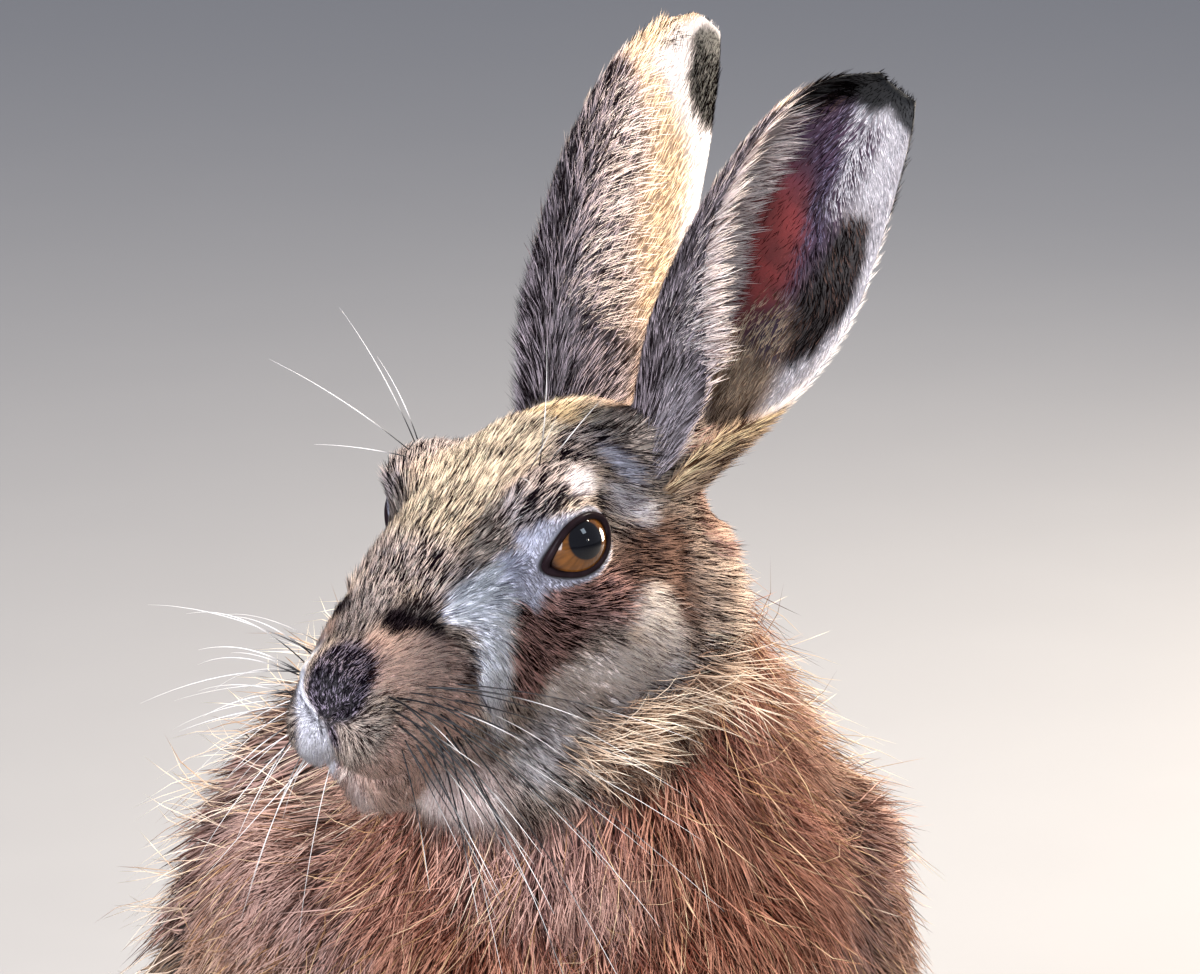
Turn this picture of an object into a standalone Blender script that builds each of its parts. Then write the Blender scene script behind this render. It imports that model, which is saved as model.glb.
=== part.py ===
"""Brown hare, life size, sitting upright with its head turned to its right.

The body is modelled whole from lofts and ovals, fused and smoothed into one form, and
then parted into its named pieces with thin curved cuts. The hare faces -Y, its left side
is +X and it sits on the plane Z = 0. The outer surface is the outside of the coat.
"""

import math

import bmesh
import bpy
from mathutils import Euler, Matrix, Vector

MM = 0.001
GAP = 0.0003  # left between pieces that touch

# Driving dimensions of the animal, in metres
EYE_HEIGHT = 0.275  # the middle between the eyes, above the ground
EYE_FORWARD = 0.078
EYE_ASIDE = -0.030  # the turned head brings the face to the hare's right
HEAD_TURN = math.radians(-55)
HEAD_NOD = math.radians(6)
EAR_LENGTH = 0.101
EYEBALL_RADIUS = 0.0098
HIND_FOOT_LENGTH = 0.145

# Fineness of the form
FORM_VOXEL = 0.0020
FORM_SMOOTHING = 9
HEAD_SHARE = 0.064  # of the form's faces that the head keeps
BODY_SHARE = 0.0165

COAT_COLOURS = {
    "grizzled": (0.30, 0.20, 0.11),
    "rufous": (0.45, 0.24, 0.12),
    "ear": (0.26, 0.20, 0.15),
    "iris": (0.30, 0.13, 0.03),
    "tail": (0.75, 0.72, 0.68),
}


# Scene and mesh helpers


def clear_scene():
    """Removes whatever the file opens with."""
    for old in list(bpy.data.objects):
        bpy.data.objects.remove(old, do_unlink=True)


def new_collection(name, hidden=False):
    """A collection for parts, or a hidden one for working shapes."""
    made = bpy.data.collections.new(name)
    bpy.context.scene.collection.children.link(made)
    made.hide_render = hidden
    return made


def mesh_object(name, mesh, collection):
    """An object that shows the mesh, in the collection."""
    made = bpy.data.objects.new(name, mesh)
    collection.objects.link(made)
    return made


def evaluated_mesh(obj):
    """The object's mesh with its modifiers applied, in world space."""
    bpy.context.view_layer.update()
    graph = bpy.context.evaluated_depsgraph_get()
    mesh = bpy.data.meshes.new_from_object(obj.evaluated_get(graph), depsgraph=graph)
    mesh.transform(obj.matrix_world)
    return mesh


def largest_shell(mesh):
    """The mesh with only its largest closed surface, as triangles."""
    bm = bmesh.new()
    bm.from_mesh(mesh)
    bmesh.ops.triangulate(bm, faces=bm.faces)
    bm.faces.ensure_lookup_table()
    unseen = set(bm.faces)
    shells = []
    while unseen:
        todo = [unseen.pop()]
        shell = []
        while todo:
            face = todo.pop()
            shell.append(face)
            for edge in face.edges:
                for other in edge.link_faces:
                    if other in unseen:
                        unseen.remove(other)
                        todo.append(other)
        shells.append(shell)

    def volume(shell):
        total = 0.0
        for face in shell:
            a, b, c = (v.co for v in face.verts)
            total += a.dot(b.cross(c)) / 6
        return abs(total)

    keep = set(max(shells, key=volume))
    scraps = [face for face in bm.faces if face not in keep]
    bmesh.ops.delete(bm, geom=scraps, context="FACES")
    bm.to_mesh(mesh)
    bm.free()
    return mesh


def boolean(mesh, cutters, operation):
    """The mesh with closed meshes joined to it or cut from it.

    The form has thousands of faces, on which the exact solver is slow, so this uses
    the manifold one.
    """
    target = mesh_object("target", mesh, WORK)
    tools = []
    for cutter in cutters:
        tool = mesh_object("tool", cutter, WORK)
        tools.append(tool)
        cut = target.modifiers.new("cut", "BOOLEAN")
        cut.solver = "MANIFOLD"
        cut.operation = operation
        cut.object = tool
    made = evaluated_mesh(target)
    for obj in [target, *tools]:
        bpy.data.objects.remove(obj, do_unlink=True)
    return largest_shell(made)


def mirrored(mesh):
    """A copy of the mesh on the other side of the plane X = 0."""
    copy = mesh.copy()
    copy.transform(Matrix.Scale(-1, 4, Vector((1, 0, 0))))
    copy.flip_normals()
    return copy


# Shapes


def oval(centre, radii, turn=(0, 0, 0), fineness=3, grow=0.0):
    """A closed oval. turn is in degrees about X, Y and Z, and grow is added to each radius."""
    bm = bmesh.new()
    bmesh.ops.create_icosphere(bm, subdivisions=fineness, radius=1.0)
    size = Matrix.Diagonal([r + grow for r in radii] + [1.0])
    turned = Euler([math.radians(t) for t in turn]).to_matrix().to_4x4()
    bmesh.ops.transform(
        bm, matrix=Matrix.Translation(centre) @ turned @ size, verts=bm.verts
    )
    mesh = bpy.data.meshes.new("oval")
    bm.to_mesh(mesh)
    bm.free()
    return mesh


def loft(rings, name="loft"):
    """A closed mesh through rings of points, each ring a list of the same length."""
    bm = bmesh.new()
    rows = [[bm.verts.new(point) for point in ring] for ring in rings]
    count = len(rows[0])
    for low, high in zip(rows, rows[1:]):
        for i in range(count):
            j = (i + 1) % count
            bm.faces.new((low[i], low[j], high[j], high[i]))
    bm.faces.new(list(reversed(rows[0])))
    bm.faces.new(rows[-1])
    bmesh.ops.recalc_face_normals(bm, faces=bm.faces)
    mesh = bpy.data.meshes.new(name)
    bm.to_mesh(mesh)
    bm.free()
    return mesh


def egg_ring(centre, across, over, half_width, half_over, half_under, count=28, pear=0.0):
    """An oval ring in the plane of across and over, taller on one side than on the other.

    pear is the share by which it narrows upwards and widens downwards.
    """
    ring = []
    for i in range(count):
        angle = 2 * math.pi * i / count
        rise = math.sin(angle)
        reach = half_over if rise > 0 else half_under
        wide = half_width * math.cos(angle) * (1 - pear * rise)
        ring.append(centre + across * wide + over * (reach * rise))
    return ring


def spine_loft(stations):
    """A body along a bent spine in the YZ plane.

    Each station is (x, y, z, half width, half height over, half height under).
    """
    centres = [Vector(s[:3]) for s in stations]
    rings = []
    for i, station in enumerate(stations):
        before = centres[max(i - 1, 0)]
        after = centres[min(i + 1, len(centres) - 1)]
        along = (after - before).normalized()
        across = Vector((1, 0, 0))
        over = across.cross(along).normalized()
        if over.z < 0:
            over = -over
        rings.append(egg_ring(centres[i], across, over, *station[3:], pear=TORSO_PEAR))
    return loft(rings)


def limb(points, grow=0.0, count=20):
    """A tapered limb through (x, y, z, half width, half depth) points, with domed ends."""
    centres = [Vector(p[:3]) for p in points]
    rings = []
    last = len(points) - 1
    for i, point in enumerate(points):
        along = (centres[min(i + 1, last)] - centres[max(i - 1, 0)]).normalized()
        across = Vector((1, 0, 0))
        across = (across - along * across.dot(along)).normalized()
        deep = along.cross(across)
        wide, thick = point[3] + grow, point[4] + grow
        ends = []
        if i == 0:
            ends = [(-0.85, 0.35), (-0.55, 0.78)]
        body = [(0.0, 1.0)]
        tail = [(0.55, 0.78), (0.85, 0.35)] if i == last else []
        for shift, share in ends + body + tail:
            centre = centres[i] + along * (shift * min(wide, thick))
            ring = egg_ring(
                centre, across, deep, wide * share, thick * share, thick * share, count
            )
            rings.append(ring)
    return loft(rings)


# The head, in its own frame: X to its left, -Y forward, Z up, from between the eyes.
# Stations are (y, z, half width, half height over, half height under), in millimetres.

HEAD_STATIONS = (
    (-60.5, -26, 4, 5, 5),
    (-58.5, -26, 8.5, 9, 9),
    (-52, -25, 13, 13, 16),
    (-42, -21, 16.5, 19, 27),
    (-30, -18, 20, 24.5, 33),
    (-15, -15, 24.5, 30.5, 37),
    (0, -13, 27.5, 35, 39),
    (14, -12, 29.5, 37.5, 39),
    (28, -12, 29.5, 37.5, 37),
    (42, -11, 26.5, 34, 33),
    (54, -10, 19, 25, 26),
    (62, -10, 10, 13, 14),
)

# Ovals of the face on its left side: (centre, radii, turn in degrees), in millimetres.
FACE_OVALS = {
    "whisker_pad": ((9.0, -47, -33), (10.5, 14, 12), (0, 0, -12)),
    "brow": ((20.0, 0, 12.5), (9, 16, 7.5), (0, -18, -8)),
    "orbit": ((21.0, 0, 0), (10.5, 15, 13), (0, 0, -8)),
    "masseter": ((20.0, 20, -22), (12.5, 22, 22), (0, 0, 0)),
    "ear_root": ((16.5, 42, 13), (10.5, 12, 14), (-40, 0, 0)),
}
MIDDLE_OVALS = {
    "nose": ((0, -54, -22), (10.5, 8.5, 9), (0, 0, 0)),
    "chin": ((0, -41, -46), (11, 11, 8), (0, 0, 0)),
}
# Hollows pressed into the face: (centre, reach, depth), in millimetres.
FACE_HOLLOWS = {
    "pad_fold": ((20, -31, -16), 9.0, 4.0),
    "eye_corner": ((25, -19, -4), 9.0, 1.2),
    "temple": ((25, 22, 8), 12.0, 1.8),
    "jaw_fold": ((21, -20, -38), 9.0, 1.0),
}


def head_matrix():
    """Carries the head from its own frame to its place on the body."""
    place = Matrix.Translation((EYE_ASIDE, -EYE_FORWARD, EYE_HEIGHT))
    turned = Euler((HEAD_NOD, 0, 0)).to_matrix().to_4x4()
    return place @ Matrix.Rotation(HEAD_TURN, 4, "Z") @ turned


def millimetres(values):
    """The values, given in millimetres, as metres."""
    return [v * MM for v in values]


def head_ovals():
    """The ovals of the face, on both sides, in the head's frame."""
    made = []
    for centre, radii, turn in FACE_OVALS.values():
        left = oval(millimetres(centre), millimetres(radii), turn)
        made += [left, mirrored(left)]
    for centre, radii, turn in MIDDLE_OVALS.values():
        made.append(oval(millimetres(centre), millimetres(radii), turn))
    return made


def head_loft():
    """The skull and its flesh, from the nose to the nape."""
    rings = []
    across, over = Vector((1, 0, 0)), Vector((0, 0, 1))
    for y, z, wide, above, below in HEAD_STATIONS:
        centre = Vector((0, y * MM, z * MM))
        rings.append(egg_ring(centre, across, over, wide * MM, above * MM, below * MM))
    return loft(rings)


# The body, in metres. Stations run from the neck down the back to the rump:
# (x, y, z, half width, half height over, half height under)

TORSO_STATIONS = (
    (0.010, -0.050, 0.272, 0.022, 0.024, 0.028),
    (0.008, -0.047, 0.257, 0.030, 0.036, 0.042),
    (0.006, -0.039, 0.237, 0.039, 0.047, 0.054),
    (0.005, -0.026, 0.216, 0.054, 0.061, 0.064),
    (0.004, -0.008, 0.192, 0.073, 0.076, 0.076),
    (0.002, 0.018, 0.166, 0.089, 0.088, 0.084),
    (0.000, 0.048, 0.140, 0.093, 0.092, 0.084),
    (0.000, 0.080, 0.113, 0.089, 0.088, 0.078),
    (0.000, 0.110, 0.088, 0.078, 0.078, 0.068),
    (0.000, 0.137, 0.066, 0.062, 0.060, 0.052),
    (0.000, 0.156, 0.050, 0.040, 0.038, 0.034),
)
TORSO_PEAR = 0.13
BREAST = ((0.0, -0.046, 0.168), (0.066, 0.052, 0.066), (12, 0, 0))
THROAT = ((-0.012, -0.060, 0.208), (0.048, 0.040, 0.038), (0, 0, -35))
NAPE = ((0.008, -0.024, 0.244), (0.031, 0.036, 0.040), (35, 0, 0))

# Limbs on the hare's left: (x, y, z, half width, half depth)
UPPER_ARM = (
    (0.055, -0.012, 0.178, 0.030, 0.040),
    (0.060, -0.026, 0.150, 0.027, 0.034),
    (0.056, -0.034, 0.124, 0.022, 0.026),
)
FOREARM = (
    (0.054, -0.036, 0.124, 0.021, 0.024),
    (0.047, -0.055, 0.088, 0.0165, 0.0175),
    (0.041, -0.071, 0.052, 0.0140, 0.0145),
    (0.038, -0.079, 0.026, 0.0138, 0.0140),
)
FOREPAW = ((0.0365, -0.093, 0.0105), (0.0150, 0.0260, 0.0122), (6, 0, -2))
THIGH = ((0.074, 0.052, 0.082), (0.036, 0.075, 0.068), (-22, 0, 4))
KNEE = ((0.083, -0.002, 0.070), (0.022, 0.030, 0.040), (-10, 0, 0))
SHANK = (
    (0.084, 0.000, 0.052, 0.018, 0.022),
    (0.082, 0.050, 0.036, 0.018, 0.024),
    (0.077, 0.105, 0.022, 0.016, 0.019),
)
HEEL_BACK = 0.122
HIND_FOOT = (
    (0.076, HEEL_BACK - 0.010, 0.015, 0.0130, 0.0155),
    (0.079, HEEL_BACK - 0.050, 0.013, 0.0145, 0.0140),
    (0.083, HEEL_BACK - 0.095, 0.012, 0.0170, 0.0130),
    (0.086, HEEL_BACK - HIND_FOOT_LENGTH + 0.018, 0.0105, 0.0175, 0.0120),
)
TAIL = ((0.0, 0.182, 0.040), (0.019, 0.038, 0.016), (-6, 0, 0))
FLOOR_SINK = 0.0008  # how deep the soles are pressed flat


def toes(tip_x, tip_y, spread, reach, radius, height):
    """Four rounded toes in a fan, the middle two longest. Returns ovals and claw places."""
    ovals, claws = [], []
    for i in range(4):
        aside = (i - 1.5) / 1.5
        x = tip_x + aside * spread
        y = tip_y + abs(aside) ** 1.5 * reach * 0.30
        ovals.append(oval((x, y, height), (radius, reach * 0.5, height * 1.12), (0, 0, aside * 9)))
        claws.append((x + aside * 0.001, y - reach * 0.42, height * 0.72, aside))
    return ovals, claws


def claw(x, y, z, aside, length):
    """A curved tapered claw that points forward and down."""
    rings = []
    steps = 4
    for i in range(steps + 1):
        share = i / steps
        centre = Vector((x + aside * 0.10 * length * share, y - length * share, z))
        centre.z -= length * 0.30 * share**1.6
        radius = 0.0015 * (1 - share) ** 0.7 + 0.00035
        ring = []
        for k in range(6):
            angle = 2 * math.pi * k / 6
            ring.append(centre + Vector((radius * math.cos(angle), 0, radius * math.sin(angle))))
        rings.append(ring)
    return loft(rings)


FORE_TOES = {"tip_x": 0.0365, "tip_y": -0.1155, "spread": 0.0108, "reach": 0.020,
             "radius": 0.0052, "height": 0.0072}
HIND_TOES = {"tip_x": 0.0865, "tip_y": HEEL_BACK - HIND_FOOT_LENGTH + 0.008, "spread": 0.0128,
             "reach": 0.026, "radius": 0.0062, "height": 0.0080}


# The whole form


def joined(meshes):
    """One mesh that holds them all, still overlapping."""
    bm = bmesh.new()
    for mesh in meshes:
        bm.from_mesh(mesh)
    made = bpy.data.meshes.new("joined")
    bm.to_mesh(made)
    bm.free()
    return made


def softened(mesh, voxel, rounds):
    """The overlapping shapes fused into one skin and smoothed, finer on face and feet."""
    obj = mesh_object("form", mesh, WORK)
    remesh = obj.modifiers.new("fuse", "REMESH")
    remesh.mode = "VOXEL"
    remesh.voxel_size = voxel
    fused = evaluated_mesh(obj)
    bpy.data.objects.remove(obj, do_unlink=True)
    obj = mesh_object("form", fused, WORK)
    to_head = head_matrix().inverted()
    group = obj.vertex_groups.new(name="soft")
    for vertex in fused.vertices:
        local = to_head @ vertex.co
        face = min(max((-20 * MM - local.y) / (20 * MM), 0.0), 1.0)
        feet = min(max((0.030 - vertex.co.z) / 0.010, 0.0), 1.0)
        group.add([vertex.index], 1.0 - 0.75 * max(face, feet), "REPLACE")
    smooth = obj.modifiers.new("soften", "SMOOTH")
    smooth.iterations = rounds
    smooth.factor = 0.6
    smooth.vertex_group = "soft"
    made = evaluated_mesh(obj)
    bpy.data.objects.remove(obj, do_unlink=True)
    return made


def press_hollows(mesh):
    """Presses the hollows of the face into the form, on both sides."""
    to_head = head_matrix().inverted()
    turned = head_matrix().to_3x3()
    hollows = []
    for (x, y, z), reach, depth in FACE_HOLLOWS.values():
        for side in (1, -1):
            centre = Vector((x * side, y, z)) * MM
            hollows.append((centre, reach * MM, depth * MM, side))
    for vertex in mesh.vertices:
        local = to_head @ vertex.co
        for centre, reach, depth, side in hollows:
            away = (local - centre).length / reach
            if away < 1.6:
                push = depth * math.exp(-2.2 * away * away)
                vertex.co -= turned @ Vector((side * push, 0, 0))


def thinned(mesh, share):
    """The form with only that share of its faces."""
    obj = mesh_object("thin", mesh.copy(), WORK)
    decimate = obj.modifiers.new("thin", "DECIMATE")
    decimate.ratio = share
    made = evaluated_mesh(obj)
    bpy.data.objects.remove(obj, do_unlink=True)
    return largest_shell(made)


def whole_form():
    """The hare in one piece, without ears, eyes and claws."""
    to_world = head_matrix()
    head_shapes = [head_loft(), *head_ovals()]
    for mesh in head_shapes:
        mesh.transform(to_world)
    left = [limb(UPPER_ARM), limb(FOREARM), oval(*FOREPAW), oval(*THIGH), oval(*KNEE)]
    left += [limb(SHANK), limb(HIND_FOOT)]
    left += toes(**FORE_TOES)[0]
    left += toes(**HIND_TOES)[0]
    middle = [spine_loft(TORSO_STATIONS), oval(*BREAST), oval(*THROAT), oval(*NAPE), oval(*TAIL)]
    shapes = head_shapes + middle + left + [mirrored(mesh) for mesh in left]
    form = softened(joined(shapes), FORM_VOXEL, FORM_SMOOTHING)
    press_hollows(form)
    return form


# Ears. Each station along the ear is (share of length, shift towards the rear edge, half
# width, depth of the cup, wrap of the front and of the rear edge, thickness). Lengths are
# in millimetres and wraps in degrees from the middle of the back.

EAR_STATIONS = (
    (-0.16, 2.0, 8.5, 8.5, 174, 174, 4.0),
    (-0.05, 2.0, 11.5, 11.0, 173, 168, 3.8),
    (0.03, 1.0, 14.0, 12.5, 172, 155, 3.6),
    (0.10, 0.2, 16.8, 13.6, 168, 136, 3.4),
    (0.18, -0.6, 19.8, 14.4, 156, 116, 3.3),
    (0.28, -0.8, 22.0, 14.6, 134, 98, 3.1),
    (0.40, -1.4, 23.6, 14.2, 118, 90, 3.0),
    (0.52, -2.4, 23.8, 13.2, 112, 86, 2.8),
    (0.64, -3.8, 22.4, 11.4, 108, 82, 2.6),
    (0.75, -4.7, 20.0, 9.4, 104, 80, 2.4),
    (0.84, -4.7, 16.7, 7.2, 100, 78, 2.2),
    (0.91, -3.8, 13.0, 5.2, 98, 76, 2.0),
    (0.96, -2.4, 9.0, 3.4, 94, 74, 1.7),
    (0.99, -1.0, 4.8, 1.9, 90, 72, 1.3),
)
EAR_BASE = Vector((17.5, 45.0, 15.0)) * MM
EAR_AXIS = Vector((0.157, 0.713, 0.684)).normalized()
EAR_OPENING = Vector((0.871, -0.422, 0.24))
# Each ear is turned at its root a little differently: degrees about X, Y and Z
EAR_TURNS = {"left": (0, 0, 0), "right": (4, -0.8, 0)}
EAR_STRETCH = {"left": 1.0, "right": 1.10}
# The right ear's cup is turned back round the ear's own length, in degrees
EAR_TWIST = {"left": 0, "right": 26}
# and the upper half of its blade leans back, by this many millimetres at the tip.
EAR_LEAN = {"left": 0.0, "right": 8.0}


def ear_mesh(stretch, twist, lean):
    """A left ear as a rolled blade with its cup open to the side, in the head's frame."""
    facing = (EAR_OPENING - EAR_AXIS * EAR_OPENING.dot(EAR_AXIS)).normalized()
    facing = Matrix.Rotation(math.radians(twist), 3, EAR_AXIS) @ facing
    across = EAR_AXIS.cross(facing).normalized()
    steps = 12
    rings = []
    for share, shift, half_width, depth, front, rear, thick in EAR_STATIONS:
        reach = EAR_LENGTH * stretch * share
        shift += lean * (max(share - 0.45, 0.0) / 0.5) ** 1.5
        centre = EAR_BASE + EAR_AXIS * reach + across * (shift * MM)
        outer, inner = [], []
        for i in range(steps + 1):
            part = i / steps
            angle = math.radians(-front + (front + rear) * part)
            v = abs(2 * part - 1)
            wall = thick * (1 - 0.45 * v**4)
            for side, inset in ((outer, 0.0), (inner, wall)):
                wide = max(half_width - inset, 0.25 * half_width)
                deep = max(depth - inset, 0.1 * depth)
                point = across * (wide * math.sin(angle)) - facing * (deep * math.cos(angle))
                side.append(centre + point * MM)
        rings.append(outer + inner[::-1])
    return loft(rings)


# Eyes. The lids are a shell over the eyeball with an almond opening.

EYE_CENTRE = Vector((21.6, 1.6, 0.4)) * MM
EYE_FACING = Vector((0.955, -0.22, 0.12)).normalized()
LID_THICKNESS = 0.0013
EYE_OPENING = (0.0080, 0.0061)  # half width and half height
EYE_TILT = math.radians(24)  # the front corner lies lower


def eye_frame():
    """Directions of the left eye: facing, along towards the rear corner, and up."""
    rearward = Vector((0, 1, 0)) - EYE_FACING * EYE_FACING.y
    rearward.normalize()
    up = EYE_FACING.cross(rearward)
    if up.z < 0:
        up = -up
    along = rearward * math.cos(EYE_TILT) + up * math.sin(EYE_TILT)
    high = up * math.cos(EYE_TILT) - rearward * math.sin(EYE_TILT)
    return EYE_FACING, along.normalized(), high.normalized()


def almond(distance, grow, count=24):
    """The opening's outline, at a distance in front of the eye's middle."""
    facing, along, high = eye_frame()
    half_long, half_high = EYE_OPENING
    ring = []
    for i in range(count):
        angle = 2 * math.pi * i / count
        c, s = math.cos(angle), math.sin(angle)
        pointed = abs(c) ** 6
        reach = half_long * (1 + (0.10 if c < 0 else 0.02) * pointed)
        squeeze = 1 - 0.18 * (c < 0) * abs(c) ** 2
        point = along * ((reach + grow) * c) + high * ((half_high + grow) * s * squeeze)
        ring.append(EYE_CENTRE + facing * distance + point)
    return ring


def eye_opening_cutter():
    """A slightly flared plug that cuts the opening between the lids."""
    near, far = EYEBALL_RADIUS * 0.25, EYEBALL_RADIUS + 0.012
    return loft([almond(near, -0.0009), almond(EYEBALL_RADIUS, 0.0), almond(far, 0.0030)])


def lid_shell():
    """The outside of the lids, a little larger than the eyeball."""
    return oval(EYE_CENTRE, [EYEBALL_RADIUS + LID_THICKNESS] * 3)


def eyeball(grow=0.0, fineness=3):
    """The eyeball, or the space that it needs."""
    return oval(EYE_CENTRE, [EYEBALL_RADIUS] * 3, fineness=fineness, grow=grow)


# Nose and mouth, in the head's frame


def groove(points, radius, count=6):
    """A thin closed tube through the points, in millimetres, which cuts a groove."""
    centres = [Vector(p) * MM for p in points]
    last = len(centres) - 1
    rings = []
    for i, centre in enumerate(centres):
        along = (centres[min(i + 1, last)] - centres[max(i - 1, 0)]).normalized()
        side = along.cross(Vector((0, 0, 1)))
        side = side.normalized() if side.length > 1e-6 else Vector((1, 0, 0))
        up = side.cross(along)
        size = radius * MM * (0.55 if i in (0, last) else 1.0)
        rings.append(egg_ring(centre, side, up, size, size, size, count))
    return loft(rings)


MOUTH_LINE = ((-1.5, -55.5, -41.5), (6, -54.5, -43.0), (12.5, -49.5, -44.5),
              (17.5, -41, -44.5), (21, -31, -43))
NOSTRIL = ((2.6, -61.0, -28.6), (5.2, -60.0, -26.6), (8.2, -57.2, -24.2), (10.2, -54, -22.6))
CLEFT = ((0, -62.0, -29.5), (0, -61.0, -34), (0, -58.0, -38.5), (0, -55.5, -42.5))


def face_cutters():
    """Grooves of the mouth, the nostrils and the cleft of the upper lip."""
    mouth = groove(MOUTH_LINE, 1.25)
    nostril = groove(NOSTRIL, 1.35)
    return [mouth, mirrored(mouth), nostril, mirrored(nostril), groove(CLEFT, 1.1)]


# Regions that part the form: each makes the piece, and grown by the gap, cuts the rest

HEAD_REGION = ((0, -6, -8), (62, 76, 56))
NECK_PLANE_POINT = Vector((0.0, -0.036, 0.204))
NECK_PLANE_NORMAL = Vector((0.0, 0.60, -0.80)).normalized()
TAIL_REGION = ((0.0, 0.196, 0.039), (0.034, 0.040, 0.030), (-6, 0, 0))
THIGH_REGION = ((0.092, 0.050, 0.082), (0.047, 0.081, 0.072), (-22, 0, 4))
ARM_REGION = (
    (0.078, -0.010, 0.172, 0.034, 0.040),
    (0.078, -0.030, 0.145, 0.037, 0.036),
    (0.066, -0.044, 0.118, 0.036, 0.032),
    (0.052, -0.060, 0.086, 0.030, 0.028),
    (0.044, -0.074, 0.052, 0.026, 0.026),
    (0.040, -0.086, 0.000, 0.028, 0.040),
)
FOREPAW_TOP = 0.030
HIND_FOOT_TOP = 0.0275


def box(low, high, grow=0.0):
    """A closed box between two corners."""
    bm = bmesh.new()
    bmesh.ops.create_cube(bm, size=1.0)
    middle = [(a + b) / 2 for a, b in zip(low, high)]
    size = [b - a + 2 * grow for a, b in zip(low, high)]
    bmesh.ops.transform(
        bm, matrix=Matrix.Translation(middle) @ Matrix.Diagonal([*size, 1.0]), verts=bm.verts
    )
    mesh = bpy.data.meshes.new("box")
    bm.to_mesh(mesh)
    bm.free()
    return mesh


def head_region(grow=0.0):
    """The oval that holds the head and none of the breast."""
    centre, radii = HEAD_REGION
    mesh = oval(millimetres(centre), millimetres(radii), fineness=4, grow=grow)
    mesh.transform(head_matrix())
    return mesh


def neck_region(grow=0.0):
    """A thick slab on the upper side of the plane between neck and torso."""
    mesh = box((-0.2, -0.2, -0.2), (0.2, 0.2, 0.0))
    turned = NECK_PLANE_NORMAL.to_track_quat("Z", "Y").to_matrix().to_4x4()
    place = NECK_PLANE_POINT + NECK_PLANE_NORMAL * grow
    mesh.transform(Matrix.Translation(place) @ turned)
    return mesh


def part_regions():
    """Names and regions of the pieces, in the order in which they are parted."""

    def both(name, shape):
        yield f"{name}_left", shape
        yield f"{name}_right", lambda grow=0.0: mirrored(shape(grow))

    def paw(grow=0.0):
        return box((0.012, -0.16, -0.02), (0.062, -0.06, FOREPAW_TOP), grow)

    def foot(grow=0.0):
        return box((0.052, -0.07, -0.02), (0.125, HEEL_BACK + 0.02, HIND_FOOT_TOP), grow)

    def arm(grow=0.0):
        return limb(ARM_REGION, grow)

    def thigh(grow=0.0):
        return oval(*THIGH_REGION, fineness=4, grow=grow)

    def tail(grow=0.0):
        return oval(*TAIL_REGION, fineness=3, grow=grow)

    yield "neck", neck_region
    yield from both("forepaw", paw)
    yield from both("hindfoot", foot)
    yield from both("foreleg", arm)
    yield from both("hindleg", thigh)
    yield "tail", tail


# Assembly


def finish_material(name, colour, roughness):
    """A plain finish of one colour."""
    material = bpy.data.materials.new(name)
    material.use_nodes = True
    shader = material.node_tree.nodes["Principled BSDF"]
    shader.inputs["Base Color"].default_value = (*colour, 1.0)
    shader.inputs["Roughness"].default_value = roughness
    shader.inputs["Metallic"].default_value = 0.0
    return material


def add_part(name, mesh, material):
    """Puts a finished piece in the hare's collection."""
    obj = mesh_object(name, mesh, PARTS)
    obj.data.name = name
    obj.data.materials.clear()
    obj.data.materials.append(material)
    obj.data.shade_smooth()
    return obj


def flat_soles(mesh):
    """Cuts the form flat where it stands on the ground."""
    ground = box((-0.4, -0.4, -0.1), (0.4, 0.4, 0.0))
    mesh.transform(Matrix.Translation((0, 0, -FLOOR_SINK)))
    return boolean(mesh, [ground], "DIFFERENCE")


def build_head(fine_form):
    """The head with its lids, eye openings, mouth, nostrils and cleft lip."""
    mesh = boolean(fine_form.copy(), [head_region()], "INTERSECT")
    mesh.transform(head_matrix().inverted())
    lids = [lid_shell(), mirrored(lid_shell())]
    mesh = boolean(mesh, lids, "UNION")
    openings = [eye_opening_cutter(), eyeball(GAP)]
    openings += [mirrored(shape) for shape in openings]
    mesh = boolean(mesh, openings + face_cutters(), "DIFFERENCE")
    mesh.transform(head_matrix())
    return mesh


def grown_copy(mesh, amount):
    """A copy of the mesh with its surface moved outwards."""
    grown = mesh.copy()
    normals = [vertex.normal.copy() for vertex in grown.vertices]
    for vertex, normal in zip(grown.vertices, normals):
        vertex.co += normal * amount
    return grown


def build_ears(head, neck):
    """Both ears, rooted on the head and clear of the neck."""
    made = {}
    for side, stretch in EAR_STRETCH.items():
        mesh, root = ear_mesh(stretch, EAR_TWIST[side], EAR_LEAN[side]), EAR_BASE.copy()
        if side == "right":
            mesh, root.x = mirrored(mesh), -root.x
        turn = Euler([math.radians(t) for t in EAR_TURNS[side]]).to_matrix().to_4x4()
        mesh.transform(Matrix.Translation(root) @ turn @ Matrix.Translation(-root))
        mesh.transform(head_matrix())
        for other in (head, neck):
            mesh = boolean(mesh, [grown_copy(other, GAP)], "DIFFERENCE")
        made[f"ear_{side}"] = mesh
    return made


def claws_for(name):
    """The claws of the foot with that name."""
    sizes = FORE_TOES if name.startswith("forepaw") else HIND_TOES
    length = 0.0085 if name.startswith("forepaw") else 0.0105
    made = [claw(x, y, z, aside, length) for x, y, z, aside in toes(**sizes)[1]]
    return [mirrored(mesh) for mesh in made] if name.endswith("right") else made


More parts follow.
